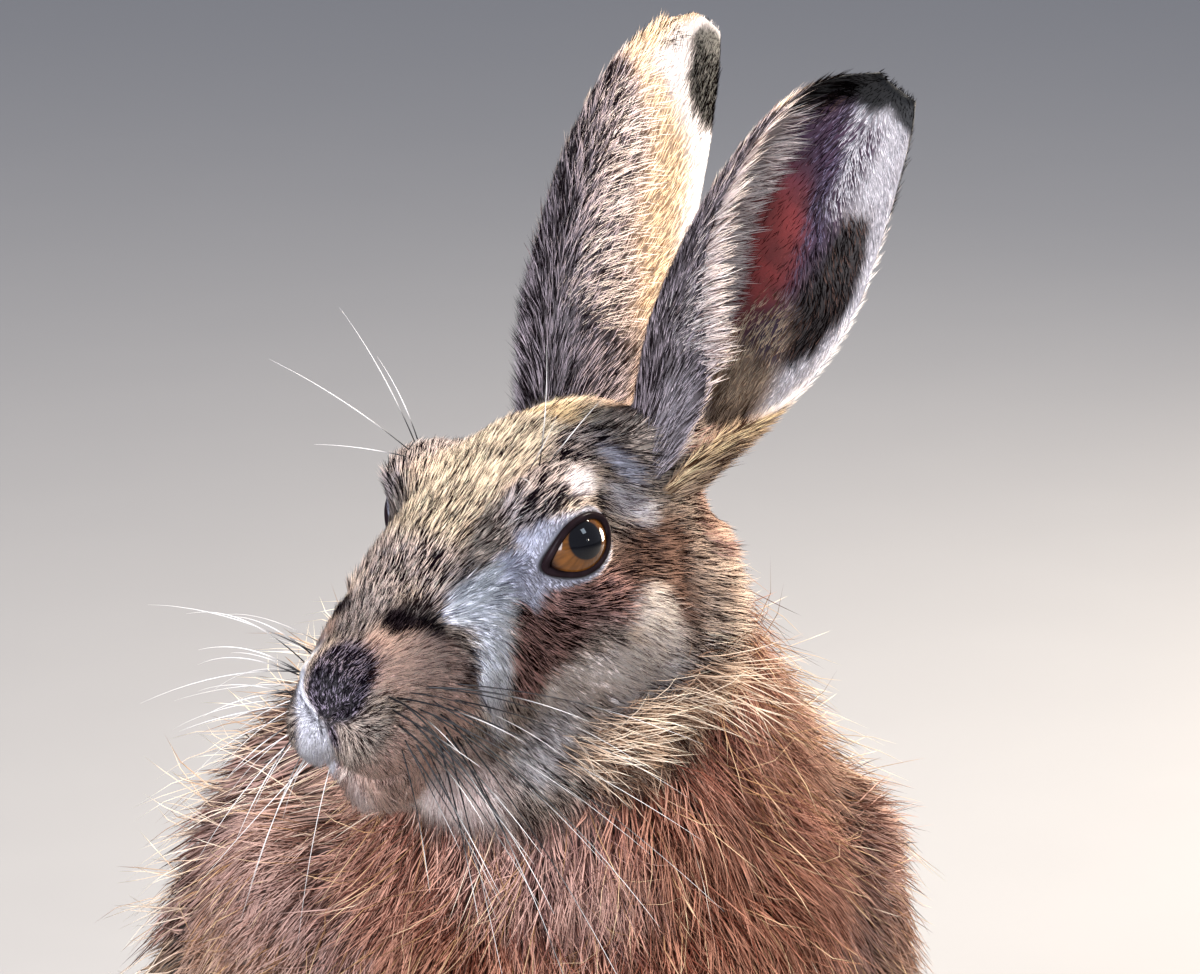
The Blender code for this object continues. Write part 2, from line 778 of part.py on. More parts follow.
def build_hare():
    """Makes every piece of the hare."""
    grizzled = finish_material("grizzled_coat", COAT_COLOURS["grizzled"], 0.85)
    rufous = finish_material("rufous_coat", COAT_COLOURS["rufous"], 0.85)
    ear_coat = finish_material("ear_coat", COAT_COLOURS["ear"], 0.8)
    iris = finish_material("eye", COAT_COLOURS["iris"], 0.1)
    tail_coat = finish_material("tail_coat", COAT_COLOURS["tail"], 0.85)
    coats = {"neck": rufous, "tail": tail_coat, "forepaw": rufous, "foreleg": rufous}

    form = whole_form()
    head = build_head(thinned(form, HEAD_SHARE))
    rest = flat_soles(thinned(form, BODY_SHARE))
    rest = boolean(rest, [head_region(GAP)], "DIFFERENCE")
    for name, region in part_regions():
        piece = boolean(rest.copy(), [region()], "INTERSECT")
        rest = boolean(rest, [region(GAP)], "DIFFERENCE")
        if "paw" in name or "foot" in name:
            piece = boolean(piece, claws_for(name), "UNION")
        if name == "neck":
            neck = piece
        add_part(name, piece, coats.get(name.split("_")[0], grizzled))
    add_part("torso", rest, grizzled)
    add_part("head", head, grizzled)
    for name, mesh in build_ears(head, neck).items():
        add_part(name, mesh, ear_coat)
    for name, mesh in (("eye_left", eyeball()), ("eye_right", mirrored(eyeball()))):
        mesh.transform(head_matrix())
        add_part(name, mesh, iris)


def centre_on_origin():
    """Moves the hare so that the middle of its box stands over the origin."""
    points = [vertex.co for obj in PARTS.objects for vertex in obj.data.vertices]
    middle = [
        (min(p[axis] for p in points) + max(p[axis] for p in points)) / 2 for axis in (0, 1)
    ]
    for obj in PARTS.objects:
        obj.data.transform(Matrix.Translation((-middle[0], -middle[1], 0.0)))


clear_scene()
PARTS = new_collection("brown_hare")
WORK = new_collection("working_shapes", hidden=True)
build_hare()
centre_on_origin()
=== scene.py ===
"""Dresses the brown hare: one skin, its coat in tufts, ears, eyes, whiskers and claws."""

from __future__ import annotations

import logging
import math
from dataclasses import dataclass
from enum import Enum
from typing import Iterable, Sequence

import bmesh
import bpy
import numpy as np
from mathutils import Euler, Matrix, Vector
from mathutils.bvhtree import BVHTree
from mathutils.kdtree import KDTree

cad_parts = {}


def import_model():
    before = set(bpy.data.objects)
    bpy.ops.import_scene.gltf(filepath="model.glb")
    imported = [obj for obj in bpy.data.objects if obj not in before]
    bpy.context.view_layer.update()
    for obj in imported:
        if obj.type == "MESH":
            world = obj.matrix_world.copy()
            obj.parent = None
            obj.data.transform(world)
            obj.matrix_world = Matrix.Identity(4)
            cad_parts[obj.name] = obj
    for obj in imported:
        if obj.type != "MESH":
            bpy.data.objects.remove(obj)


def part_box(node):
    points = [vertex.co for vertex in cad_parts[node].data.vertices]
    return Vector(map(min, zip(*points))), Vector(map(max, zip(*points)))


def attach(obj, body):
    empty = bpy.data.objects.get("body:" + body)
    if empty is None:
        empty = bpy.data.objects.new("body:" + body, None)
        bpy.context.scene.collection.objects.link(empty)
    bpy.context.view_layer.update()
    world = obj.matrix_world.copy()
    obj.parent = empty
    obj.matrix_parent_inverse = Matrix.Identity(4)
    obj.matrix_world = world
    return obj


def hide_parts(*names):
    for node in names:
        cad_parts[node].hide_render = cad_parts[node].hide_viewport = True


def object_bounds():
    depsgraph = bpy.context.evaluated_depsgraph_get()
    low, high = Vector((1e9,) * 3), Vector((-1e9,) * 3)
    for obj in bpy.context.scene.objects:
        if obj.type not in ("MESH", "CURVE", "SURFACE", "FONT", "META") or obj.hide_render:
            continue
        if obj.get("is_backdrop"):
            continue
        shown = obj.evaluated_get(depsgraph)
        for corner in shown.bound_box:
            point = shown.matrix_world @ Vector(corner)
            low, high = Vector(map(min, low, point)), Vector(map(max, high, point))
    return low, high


LOG = logging.getLogger("brown_hare")
Array = np.ndarray
Colour = tuple[float, float, float]
Point = tuple[float, float, float]

MM = 0.001
SEED = 41
COAT_MAP = "OFBake"
COAT_COLOUR = "CoatColour"
PATCH = 0.003  # how wide one tuft's patch is on the coat map
MOST_TRIANGLES = 190_000  # in one coat piece

HEAD_NODES = ("head",)
FLESH_NODES = (
    "head", "neck", "torso", "tail", "foreleg_left", "foreleg_right", "forepaw_left",
    "forepaw_right", "hindleg_left", "hindleg_right", "hindfoot_left", "hindfoot_right",
)
EAR_NODES = ("ear_left", "ear_right")
EYE_NODES = ("eye_left", "eye_right")


class Slot(Enum):
    """Names for the kinds of coat finish."""

    GRIZZLED = "grizzled_coat"
    RUFOUS = "rufous_coat"
    EAR = "ear_coat"
    TAIL = "tail_coat"
    EYE = "eye"


# Small sums


def unit(vectors: Array) -> Array:
    """The vectors at a length of one."""
    return vectors / np.maximum(np.linalg.norm(vectors, axis=-1, keepdims=True), 1e-9)


def fade(start: float | Array, end: float | Array, values: Array) -> Array:
    """Rises smoothly from 0 at start to 1 at end."""
    share = np.clip((values - start) / (np.asarray(end) - start), 0.0, 1.0)
    return share * share * (3 - 2 * share)


def smooth_noise(points: Array, size: float, seed: int) -> Array:
    """Smooth values from 0 to 1.

    Args:
        points: places, one a row.
        size: about how far apart the highs and lows lie, in the unit of the points.
        seed: picks the pattern.

    Returns:
        One value for each point.
    """
    cell = points / size
    low = np.floor(cell).astype(np.int64)
    part = cell - low
    part = part * part * (3 - 2 * part)
    total = np.zeros(len(points))
    for corner in range(8):
        step = np.array([corner & 1, corner >> 1 & 1, corner >> 2 & 1])
        at = low + step
        mixed = at[:, 0] * 73856093 ^ at[:, 1] * 19349663 ^ at[:, 2] * 83492791 ^ seed * 26544357
        mixed = (mixed ^ (mixed >> 13)) * 1274126177 & 0xFFFFFFFF
        mixed = (mixed ^ (mixed >> 16)) & 0xFFFF
        weight = np.where(step, part, 1 - part).prod(axis=1)
        total += weight * mixed / 65535
    return total


def turned_about(vectors: Array, axes: Array, angles: Array) -> Array:
    """Tangent vectors turned about their own normals.

    Args:
        vectors: vectors at right angles to the axes.
        axes: the unit normals.
        angles: one angle a row, in radians.

    Returns:
        The turned vectors.
    """
    side = np.cross(axes, vectors)
    return vectors * np.cos(angles)[:, None] + side * np.sin(angles)[:, None]


def as_tangents(vectors: Array, normals: Array) -> Array:
    """The vectors laid flat on the surface, at a length of one."""
    flat = vectors - normals * (vectors * normals).sum(axis=1, keepdims=True)
    return unit(flat)


# Frames and places


@dataclass(frozen=True)
class HeadFrame:
    """The head's own frame in millimetres: X to its left, -Y forward and Z up.

    It starts at the middle between the eyes.
    """

    middle: Vector
    turn: float = -55.0
    nod: float = 6.0

    def matrix(self) -> Matrix:
        """Carries metres in the head's frame to the row frame."""
        nodded = Euler((math.radians(self.nod), 0, 0)).to_matrix().to_4x4()
        turned = Matrix.Rotation(math.radians(self.turn), 4, "Z")
        return Matrix.Translation(self.middle) @ turned @ nodded

    def axes(self) -> Array:
        """The head's X, Y and Z as columns."""
        return np.array(self.matrix().to_3x3())

    def inward(self, points: Array) -> Array:
        """Places of the row frame, in the head's millimetres."""
        return (points - np.array(self.middle)) @ self.axes() / MM

    def outward(self, points: Array) -> Array:
        """Places in the head's millimetres, in the row frame."""
        return points * MM @ self.axes().T + np.array(self.middle)

    def directions(self, vectors: Array) -> Array:
        """Directions of the head's frame, in the row frame."""
        return vectors @ self.axes().T


@dataclass(frozen=True)
class Zone:
    """A soft-edged band round a path, in millimetres.

    path holds the points, reach its radius, soft the share of it that fades out, and
    paired says that the zone is also on the other side.
    """

    path: tuple[Point, ...]
    reach: float
    soft: float = 0.5
    paired: bool = True

    def mask(self, places: Array) -> Array:
        """How much each place, in millimetres, belongs to the zone, from 0 to 1."""
        at = places.copy()
        if self.paired:
            at[:, 0] = np.abs(at[:, 0])
        away = distance_to_path(at, self.path)[0] / self.reach
        return 1 - fade(1 - self.soft, 1.0, away)


def distance_to_path(places: Array, path: Sequence[Point]) -> tuple[Array, Array]:
    """How far each place lies from a path, and the vector from the path's nearest point."""
    nodes = np.array(path, float)
    if len(nodes) == 1:
        nodes = np.repeat(nodes, 2, axis=0)
    best = np.full(len(places), 1e9)
    offset = np.zeros((len(places), 3))
    for start, end in zip(nodes, nodes[1:]):
        run = end - start
        share = np.clip((places - start) @ run / max(run @ run, 1e-9), 0, 1)
        from_path = places - (start + share[:, None] * run)
        away = np.linalg.norm(from_path, axis=1)
        nearer = away < best
        best[nearer] = away[nearer]
        offset[nearer] = from_path[nearer]
    return best, offset


# Surfaces


class Surface:
    """A closed surface of triangles, with sums over its neighbouring points."""

    def __init__(self, points: Array, triangles: Array) -> None:
        """Keeps the points and triangles and finds the edges."""
        self.points = np.asarray(points, float)
        self.triangles = np.asarray(triangles, np.int64)
        count = len(self.points)
        ends = np.concatenate([self.triangles[:, [0, 1]], self.triangles[:, [1, 2]],
                               self.triangles[:, [2, 0]]])
        ends.sort(axis=1)
        keys = np.unique(ends[:, 0] * count + ends[:, 1])
        self.edges = np.stack([keys // count, keys % count], axis=1)
        self.valence = np.maximum(np.bincount(self.edges.ravel(), minlength=count), 1)

    def normals(self) -> Array:
        """The outward direction at each point."""
        corner = self.points[self.triangles]
        face = np.cross(corner[:, 1] - corner[:, 0], corner[:, 2] - corner[:, 0])
        total = np.zeros_like(self.points)
        for axis in range(3):
            for k in range(3):
                total[:, axis] += np.bincount(
                    self.triangles[:, k], face[:, axis], len(self.points)
                )
        return unit(total)

    def areas(self) -> Array:
        """The area of each triangle."""
        corner = self.points[self.triangles]
        face = np.cross(corner[:, 1] - corner[:, 0], corner[:, 2] - corner[:, 0])
        return np.linalg.norm(face, axis=1) / 2

    def relaxed(self, values: Array, rounds: int, share: Array | float = 0.5) -> Array:
        """Values at the points, each drawn towards the mean of its neighbours.

        Args:
            values: one value or one row of values a point.
            rounds: how many times.
            share: how far towards the mean each time.

        Returns:
            The smoothed values, in the same shape.
        """
        kept = np.array(values, float)
        flat = kept.reshape(len(kept), -1)
        first, second = self.edges.T
        pull = np.broadcast_to(np.asarray(share, float), (len(flat),))
        for _ in range(rounds):
            for k in range(flat.shape[1]):
                column = flat[:, k].copy()
                total = np.bincount(first, column[second], len(flat))
                total += np.bincount(second, column[first], len(flat))
                flat[:, k] += pull * (total / self.valence - column)
        return flat.reshape(np.shape(values))


def arrays_of(mesh: bpy.types.Mesh) -> tuple[Array, Array]:
    """The points and triangles of a mesh."""
    points = np.empty(len(mesh.vertices) * 3, np.float32)
    mesh.vertices.foreach_get("co", points)
    mesh.calc_loop_triangles()
    triangles = np.empty(len(mesh.loop_triangles) * 3, np.int32)
    mesh.loop_triangles.foreach_get("vertices", triangles)
    return points.reshape(-1, 3).astype(float), triangles.reshape(-1, 3)


def mesh_from(name: str, points: Array, triangles: Array) -> bpy.types.Mesh:
    """A smooth-shaded mesh of triangles."""
    mesh = bpy.data.meshes.new(name)
    mesh.vertices.add(len(points))
    mesh.vertices.foreach_set("co", np.asarray(points, np.float32).ravel())
    corners = np.asarray(triangles, np.int32).ravel()
    mesh.loops.add(len(corners))
    mesh.loops.foreach_set("vertex_index", corners)
    mesh.polygons.add(len(triangles))
    mesh.polygons.foreach_set("loop_start", np.arange(0, len(corners), 3, dtype=np.int32))
    mesh.polygons.foreach_set("use_smooth", np.ones(len(triangles), bool))
    mesh.update(calc_edges=True)
    mesh.validate()
    return mesh


def paint_points(mesh: bpy.types.Mesh, colours: Array, name: str = COAT_COLOUR) -> None:
    """Gives the mesh a colour at each point."""
    layer = mesh.color_attributes.new(name, "FLOAT_COLOR", "POINT")
    rows = np.ones((len(mesh.vertices), 4), np.float32)
    rows[:, :3] = np.clip(colours, 0, 1)
    layer.data.foreach_set("color", rows.ravel())


def placed(name: str, mesh: bpy.types.Mesh, material: bpy.types.Material) -> bpy.types.Object:
    """The mesh as a new object in the scene with its material."""
    piece = bpy.data.objects.new(name, mesh)
    mesh.materials.append(material)
    bpy.context.scene.collection.objects.link(piece)
    return piece


# Colours of the coat


@dataclass(frozen=True)
class Pelage:
    """The colours along the hairs of one part of the coat.

    dark_share says how many hairs end in the dark tip instead of the light one.
    """

    root: Colour
    band: Colour
    light: Colour
    dark: Colour
    dark_share: float

    def row(self) -> Array:
        """The values side by side, as a coat field keeps them."""
        return np.array([*self.root, *self.band, *self.light, *self.dark, self.dark_share])


GRIZZLE = Pelage((0.06, 0.035, 0.028), (0.34, 0.23, 0.175), (0.96, 0.77, 0.65),
                 (0.01, 0.006, 0.007), 0.47)
FOREHEAD = Pelage((0.03, 0.016, 0.012), (0.46, 0.295, 0.19), (1.0, 0.84, 0.68),
                  (0.008, 0.005, 0.006), 0.48)
STRAW = Pelage((0.22, 0.13, 0.085), (0.62, 0.45, 0.32), (1.0, 0.86, 0.69),
               (0.3, 0.18, 0.11), 0.2)
GOLDEN = Pelage((0.05, 0.022, 0.014), (0.24, 0.135, 0.085), (0.66, 0.47, 0.33),
                (0.04, 0.018, 0.012), 0.45)
BRIDGE = Pelage((0.012, 0.007, 0.009), (0.075, 0.048, 0.052), (0.96, 0.8, 0.77),
                (0.004, 0.002, 0.004), 0.63)
NOSE = Pelage((0.006, 0.004, 0.007), (0.05, 0.036, 0.05), (0.52, 0.43, 0.54),
              (0.005, 0.003, 0.006), 0.76)
WHITE_LIP = Pelage((0.6, 0.58, 0.68), (0.86, 0.85, 0.94), (0.98, 0.97, 1.0),
                   (0.66, 0.63, 0.74), 0.08)
PAD = Pelage((0.36, 0.18, 0.135), (0.92, 0.49, 0.385), (1.0, 0.72, 0.61),
             (0.02, 0.01, 0.01), 0.21)
# Painted shade, near-black: for the folds behind the whisker pads, the bare nostril, cleft and
# mouth lines, and round the eye openings over the lids' dark bare skin.
CREASE_SHADE = Pelage((0.003, 0.002, 0.003), (0.012, 0.008, 0.01), (0.07, 0.05, 0.06),
             (0.002, 0.001, 0.002), 0.7)
STREAK = Pelage((0.8, 0.8, 0.94), (0.9, 0.91, 1.0), (0.97, 0.98, 1.0),
                (0.02, 0.016, 0.03), 0.2)
EYE_RING = Pelage((0.34, 0.34, 0.41), (0.56, 0.56, 0.67), (0.74, 0.74, 0.86),
                  (0.2, 0.17, 0.22), 0.12)
CHEEK_PATCH = Pelage((0.018, 0.006, 0.004), (0.115, 0.042, 0.032), (0.82, 0.48, 0.42),
                     (0.008, 0.003, 0.003), 0.56)
TEMPLE = Pelage((0.018, 0.008, 0.006), (0.095, 0.046, 0.034), (0.33, 0.18, 0.135),
                (0.013, 0.006, 0.005), 0.4)
CHEEK = Pelage((0.16, 0.11, 0.1), (0.52, 0.4, 0.37), (1.0, 0.9, 0.88),
               (0.016, 0.009, 0.01), 0.27)
CREAM = Pelage((0.64, 0.48, 0.42), (0.98, 0.78, 0.7), (1.0, 0.91, 0.85),
               (0.05, 0.026, 0.024), 0.14)
BROW = Pelage((0.44, 0.38, 0.4), (0.76, 0.68, 0.71), (0.97, 0.92, 0.96),
              (0.14, 0.1, 0.11), 0.17)
GOLD = Pelage((0.07, 0.032, 0.014), (0.46, 0.25, 0.12), (1.0, 0.74, 0.46),
              (0.04, 0.018, 0.01), 0.34)
JAW = Pelage((0.06, 0.024, 0.015), (0.28, 0.155, 0.105), (0.74, 0.54, 0.41),
             (0.04, 0.016, 0.01), 0.4)
CHIN = Pelage((0.5, 0.33, 0.3), (0.88, 0.62, 0.57), (1.0, 0.84, 0.79),
              (0.24, 0.14, 0.13), 0.12)
RUFOUS = Pelage((0.034, 0.014, 0.009), (0.27, 0.13, 0.085), (0.72, 0.47, 0.36),
                (0.03, 0.012, 0.008), 0.37)
CHEST = Pelage((0.028, 0.006, 0.003), (0.205, 0.062, 0.036), (0.62, 0.3, 0.19),
               (0.03, 0.007, 0.004), 0.33)
BACK = Pelage((0.055, 0.032, 0.018), (0.31, 0.19, 0.11), (0.6, 0.42, 0.27),
              (0.014, 0.009, 0.007), 0.4)
FLANK = Pelage((0.05, 0.02, 0.014), (0.27, 0.135, 0.105), (0.58, 0.375, 0.315),
               (0.022, 0.01, 0.008), 0.33)
THIGH = Pelage((0.075, 0.042, 0.027), (0.33, 0.21, 0.135), (0.58, 0.41, 0.28),
               (0.03, 0.017, 0.012), 0.3)
BELLY = Pelage((0.45, 0.42, 0.39), (0.74, 0.71, 0.67), (0.92, 0.90, 0.86),
               (0.60, 0.56, 0.52), 0.10)
LEG = Pelage((0.12, 0.055, 0.028), (0.42, 0.24, 0.135), (0.62, 0.42, 0.27),
             (0.14, 0.07, 0.04), 0.16)
FOOT = Pelage((0.16, 0.085, 0.048), (0.48, 0.32, 0.2), (0.7, 0.54, 0.39),
              (0.18, 0.1, 0.06), 0.14)
SOLE = Pelage((0.08, 0.05, 0.03), (0.26, 0.17, 0.10), (0.42, 0.30, 0.20),
              (0.07, 0.04, 0.03), 0.40)
TAIL_TOP = Pelage((0.03, 0.022, 0.02), (0.05, 0.038, 0.034), (0.12, 0.09, 0.08),
                  (0.012, 0.010, 0.010), 0.60)
TAIL_SIDE = Pelage((0.50, 0.47, 0.44), (0.80, 0.78, 0.75), (0.93, 0.92, 0.90),
                   (0.66, 0.62, 0.58), 0.10)
EAR_GREY = Pelage((0.02, 0.012, 0.013), (0.13, 0.095, 0.1), (0.64, 0.53, 0.57),
                  (0.006, 0.004, 0.006), 0.6)
EAR_CREAM = Pelage((0.3, 0.18, 0.1), (0.62, 0.42, 0.27), (0.92, 0.71, 0.51),
                   (0.17, 0.095, 0.055), 0.2)
EAR_WHITE = Pelage((0.66, 0.59, 0.6), (0.79, 0.72, 0.73), (0.92, 0.86, 0.87),
                   (0.52, 0.45, 0.46), 0.08)
EAR_FRINGE = Pelage((0.22, 0.145, 0.125), (0.6, 0.47, 0.43), (0.94, 0.81, 0.76),
                    (0.16, 0.1, 0.09), 0.2)
EAR_BLACK = Pelage((0.002, 0.001, 0.001), (0.003, 0.002, 0.002), (0.006, 0.004, 0.004),
                   (0.001, 0.001, 0.001), 0.6)
EAR_UMBER = Pelage((0.005, 0.002, 0.002), (0.02, 0.009, 0.007), (0.24, 0.14, 0.11),
                   (0.004, 0.002, 0.002), 0.76)
EAR_PURPLE = Pelage((0.016, 0.008, 0.014), (0.065, 0.042, 0.07), (0.36, 0.29, 0.42),
                    (0.009, 0.005, 0.009), 0.56)
EAR_DOWN = Pelage((0.09, 0.012, 0.011), (0.13, 0.024, 0.022), (0.27, 0.09, 0.08),
                  (0.04, 0.006, 0.006), 0.58)


class CoatField:
    """What grows at each point of a surface: colours, lie, length and thickness of growth."""

    def __init__(self, surface: Surface, base: Pelage) -> None:
        """Starts with one pelage all over."""
        count = len(surface.points)
        self.surface = surface
        self.colours = np.tile(base.row(), (count, 1))
        self.lie = np.zeros((count, 3))
        self.length = np.full(count, 6.0)
        self.lift = np.full(count, 18.0)
        self.growth = np.ones(count)

    def paint(self, mask: Array, pelage: Pelage) -> None:
        """Blends a pelage in where the mask is high."""
        self.colours += mask[:, None] * (pelage.row() - self.colours)

    def set_length(self, mask: Array, length: float) -> None:
        """Draws the hairs' length, in millimetres, towards a value."""
        self.length += mask * (length - self.length)

    def set_lift(self, mask: Array, lift: float) -> None:
        """Draws the angle between hair and skin, in degrees, towards a value."""
        self.lift += mask * (lift - self.lift)

    def skin_colours_with_painted_shade(self) -> Array:
        """The colours of the skin below: the marking, darkened as painted shade so that the skin
        between the hairs reads as shadow.
        """
        share = self.colours[:, 12:13]
        tips = self.colours[:, 6:9] * (1 - share) + self.colours[:, 9:12] * share
        # 0.26 darkens the skin into painted shade between the hairs
        return 0.26 * (0.4 * self.colours[:, 0:3] + 0.35 * self.colours[:, 3:6] + 0.25 * tips)


@dataclass(frozen=True)
class CombGuide:
    """A direction that the coat takes at a place, both in the same frame."""

    at: Point
    towards: Point


def combed(places: Array, guides: Iterable[CombGuide], near: float, paired: bool) -> Array:
    """Directions at the places, blended from the guides.

    Args:
        places: in millimetres.
        guides: the named directions.
        near: distance below which a guide rules alone, in millimetres.
        paired: says that each guide is also on the other side.

    Returns:
        One unit direction for each place.
    """
    total = np.zeros((len(places), 3))
    for guide in guides:
        at, towards = np.array(guide.at, float), unit(np.array(guide.towards, float))
        for side in (1, -1) if paired else (1,):
            flip = np.array([side, 1, 1])
            gap = ((places - at * flip) ** 2).sum(axis=1)
            total += (1 / (gap + near * near) ** 2)[:, None] * (towards * flip)
    return unit(total)


# Tufts


@dataclass(frozen=True)
class TuftStyle:
    """How the tufts of one piece of coat are made.

    width is in millimetres at the widest, rings the cross-sections below the tip, flat
    the thickness as a share of the width, droop the lift at the tip as a share of the
    lift at the root, spread and sway the scatter of directions in degrees, clump how
    many tufts gather together and gather how far, streak how far blotches sway the share
    of dark tips, grain how wide and drawn how long the light and dark lines are, curl the
    bend sideways in radians, and tone stands for the markings.
    """

    name: str
    count: int
    width: float
    rings: int = 1
    flat: float = 0.55
    longer: float = 1.0
    droop: float = 0.45
    spread: float = 9.0
    sway: float = 10.0
    clump: int = 6
    gather: float = 0.35
    streak: float = 0.28
    grain: float = 0.46
    drawn: float = 1.9
    curl: float = 0.16
    sink: float = 0.5
    raised: float = 1.0
    tone: Pelage | None = None


class Coat:
    """Grows tufts on a surface and makes them into pieces."""

    def __init__(self, field: CoatField, corners: Array, material: bpy.types.Material,
                 slot: Slot) -> None:
        """Keeps what the tufts grow from.

        Args:
            field: colours, lie and length at the surface's points.
            corners: the coat map's places of each triangle's corners.
            material: the finish of the tufts.
            slot: not used.
        """
        self.field = field
        self.corners = corners
        self.material = material
        self.slot = slot
        surface = field.surface
        self.tree = BVHTree.FromPolygons(surface.points.tolist(), surface.triangles.tolist())

    def raised_out(self, tips: Array, want: Array) -> Array:
        """How far each tip has to move so that it stands clear of the skin."""
        moves = np.zeros_like(tips)
        for k, tip in enumerate(tips):
            place, normal, _, _ = self.tree.find_nearest(Vector(tip))
            short = want[k] - (Vector(tip) - place).dot(normal)
            if short > 0:
                moves[k] = normal * short
        return moves

    def roots(self, style: TuftStyle, growth: Array, dice: np.random.Generator) -> tuple:
        """Where tufts start: the triangle and the share of each of its corners."""
        surface = self.field.surface
        weight = surface.areas() * growth[surface.triangles].mean(axis=1)
        steps = np.cumsum(weight)
        picks = (np.arange(style.count) + dice.random(style.count)) / style.count * steps[-1]
        triangle = np.minimum(np.searchsorted(steps, picks), len(weight) - 1)
        a, b = dice.random(style.count), dice.random(style.count)
        over = a + b > 1
        a[over], b[over] = 1 - a[over], 1 - b[over]
        return triangle, np.stack([1 - a - b, a, b], axis=1)

    def grow(self, style: TuftStyle, growth: Array) -> list[bpy.types.Object]:
        """Grows the tufts of one style where growth is above 0.

        Args:
            style: the tufts' make.
            growth: how thickly they grow at each point.

        Returns:
            The pieces, each under the limit of triangles.
        """
        dice = np.random.default_rng(SEED + sum(style.name.encode()))
        field, surface = self.field, self.field.surface
        triangle, share = self.roots(style, growth * field.growth, dice)
        corner = surface.triangles[triangle]

        def at_roots(values: Array) -> Array:
            """Values of the points, blended at each root."""
            rows = values[corner]
            return np.einsum("nk,nk...->n...", share, rows)

        root, normal = at_roots(surface.points), unit(at_roots(surface.normals()))
        lie = as_tangents(at_roots(field.lie), normal)
        length = at_roots(field.length) * style.longer * MM
        lift = np.radians(at_roots(field.lift)) * style.raised
        colours = at_roots(field.colours)
        if style.tone:
            colours = np.tile(style.tone.row(), (style.count, 1))
        place = np.einsum("nk,nkc->nc", share, self.corners[triangle])

        count = style.count
        head, mates = self.clumps(root, style, dice)
        mood = dice.random((count, 4))[head]  # what the tufts of one clump share
        wander = (smooth_noise(root, 0.012, 5) - 0.5) * 2 * math.radians(style.sway)
        turn = dice.normal(0, 1, count) * math.radians(style.spread) + wander
        turn += (mood[:, 0] - 0.5) * math.radians(style.sway)
        lie = turned_about(lie, normal, turn)
        length = length * dice.uniform(0.72, 1.18, count)
        lift = lift * (0.75 + 0.5 * mood[:, 1]) * dice.uniform(0.8, 1.2, count)
        low = lift * style.droop * dice.uniform(0.4, 1.6, count)

        start = lie * np.cos(lift)[:, None] + normal * np.sin(lift)[:, None]
        bend = turned_about(lie, normal, dice.normal(0, style.curl, count))
        end = bend * np.cos(low)[:, None] + normal * np.sin(low)[:, None]
        base = root - normal * (style.sink * MM)
        tip = base + length[:, None] * (start + end) / 2
        pull = style.gather * (tip[head] - tip) * mates[:, None]
        pull = pull + self.raised_out(tip + pull, np.minimum(0.15 * length, 2.2 * MM))

        shares = {1: (0.0,), 2: (0.0, 0.5), 3: (0.0, 0.38, 0.72)}[style.rings]
        widths = {1: (1.0,), 2: (0.85, 1.0), 3: (0.75, 1.0, 0.72)}[style.rings]
        width = style.width * MM * dice.uniform(0.7, 1.3, count)
        side = unit(np.cross(normal, lie))
        rows: list[Array] = []
        for s, wide in zip(shares, widths):
            centre = base + length[:, None] * (start * s + (end - start) * s * s / 2)
            centre = centre + pull * s**1.6
            along = unit(start + (end - start) * s)
            up = unit(np.cross(along, side))
            half = side * (width * wide / 2)[:, None]
            thick = up * (width * wide * style.flat)[:, None]
            rows += [centre - half - thick / 3, centre + half - thick / 3, centre + thick * 2 / 3]
        rows.append(tip + pull)
        points = np.stack(rows, axis=1)
        points[:, :, 2] = np.maximum(points[:, :, 2], 0.0004)

        tints = self.tints(style, colours, root, lie, mood[:, 3], dice)
        across = np.array([0.0, 1.0, 0.5] * style.rings + [0.5])
        down = np.array([s for s in shares for _ in range(3)] + [1.0])
        patch = np.stack([across - 0.5, down - 0.5], axis=1) * PATCH
        spots = np.clip(place[:, None, :] + patch[None], 0, 1)
        return self.pieces(style, points, tints, spots)

    @staticmethod
    def clumps(root: Array, style: TuftStyle, dice: np.random.Generator) -> tuple:
        """The tuft that leads each clump, and how far its mates follow it."""
        count = len(root)
        if style.clump < 2:
            return np.arange(count), np.zeros(count)
        leaders = dice.permutation(count)[: max(count // style.clump, 1)]
        tree = KDTree(len(leaders))
        for index in leaders:
            tree.insert(Vector(root[index]), int(index))
        tree.balance()
        head = np.array([tree.find(Vector(place))[1] for place in root])
        return head, dice.uniform(0.5, 1.3, count)

    @staticmethod
    def tints(style: TuftStyle, colours: Array, root: Array, lie: Array, mood: Array,
              dice: np.random.Generator) -> Array:
        """The colour of every point of every tuft, in light and dark lines along the lie."""
        blotches = smooth_noise(root, 0.006, 3) - 0.5
        lines = sum(smooth_noise(root + lie * (step * style.drawn * MM), style.grain * MM, 11)
                    for step in (-1, -0.6, -0.25, 0, 0.25, 0.6, 1))
        pick = 0.6 * dice.random(len(root)) + 0.4 * lines.argsort().argsort() / len(root)
        pick = pick.argsort().argsort() / len(root)
        dark = pick < colours[:, 12] + style.streak * blotches
        tip = np.where(dark[:, None], colours[:, 9:12], colours[:, 6:9])
        shade = dice.normal(1, 0.10, len(root)) * (0.84 + 0.28 * mood)
        root_tint, band = colours[:, 0:3], colours[:, 3:6]
        # The rings near the skin lean to the dark root colour: the hair's own banding, and
        # painted shade that gives the coat depth.
        toned = {
            1: (root_tint * 0.6 + tip * 0.4,),
            2: (root_tint * 0.8 + tip * 0.2, band * 0.4 + tip * 0.6),
            3: (root_tint, band, band * 0.35 + tip * 0.65),
        }[style.rings]
        rows = [tone for tone in toned for _ in range(3)] + [tip]
        return np.stack(rows, axis=1) * shade[:, None, None]

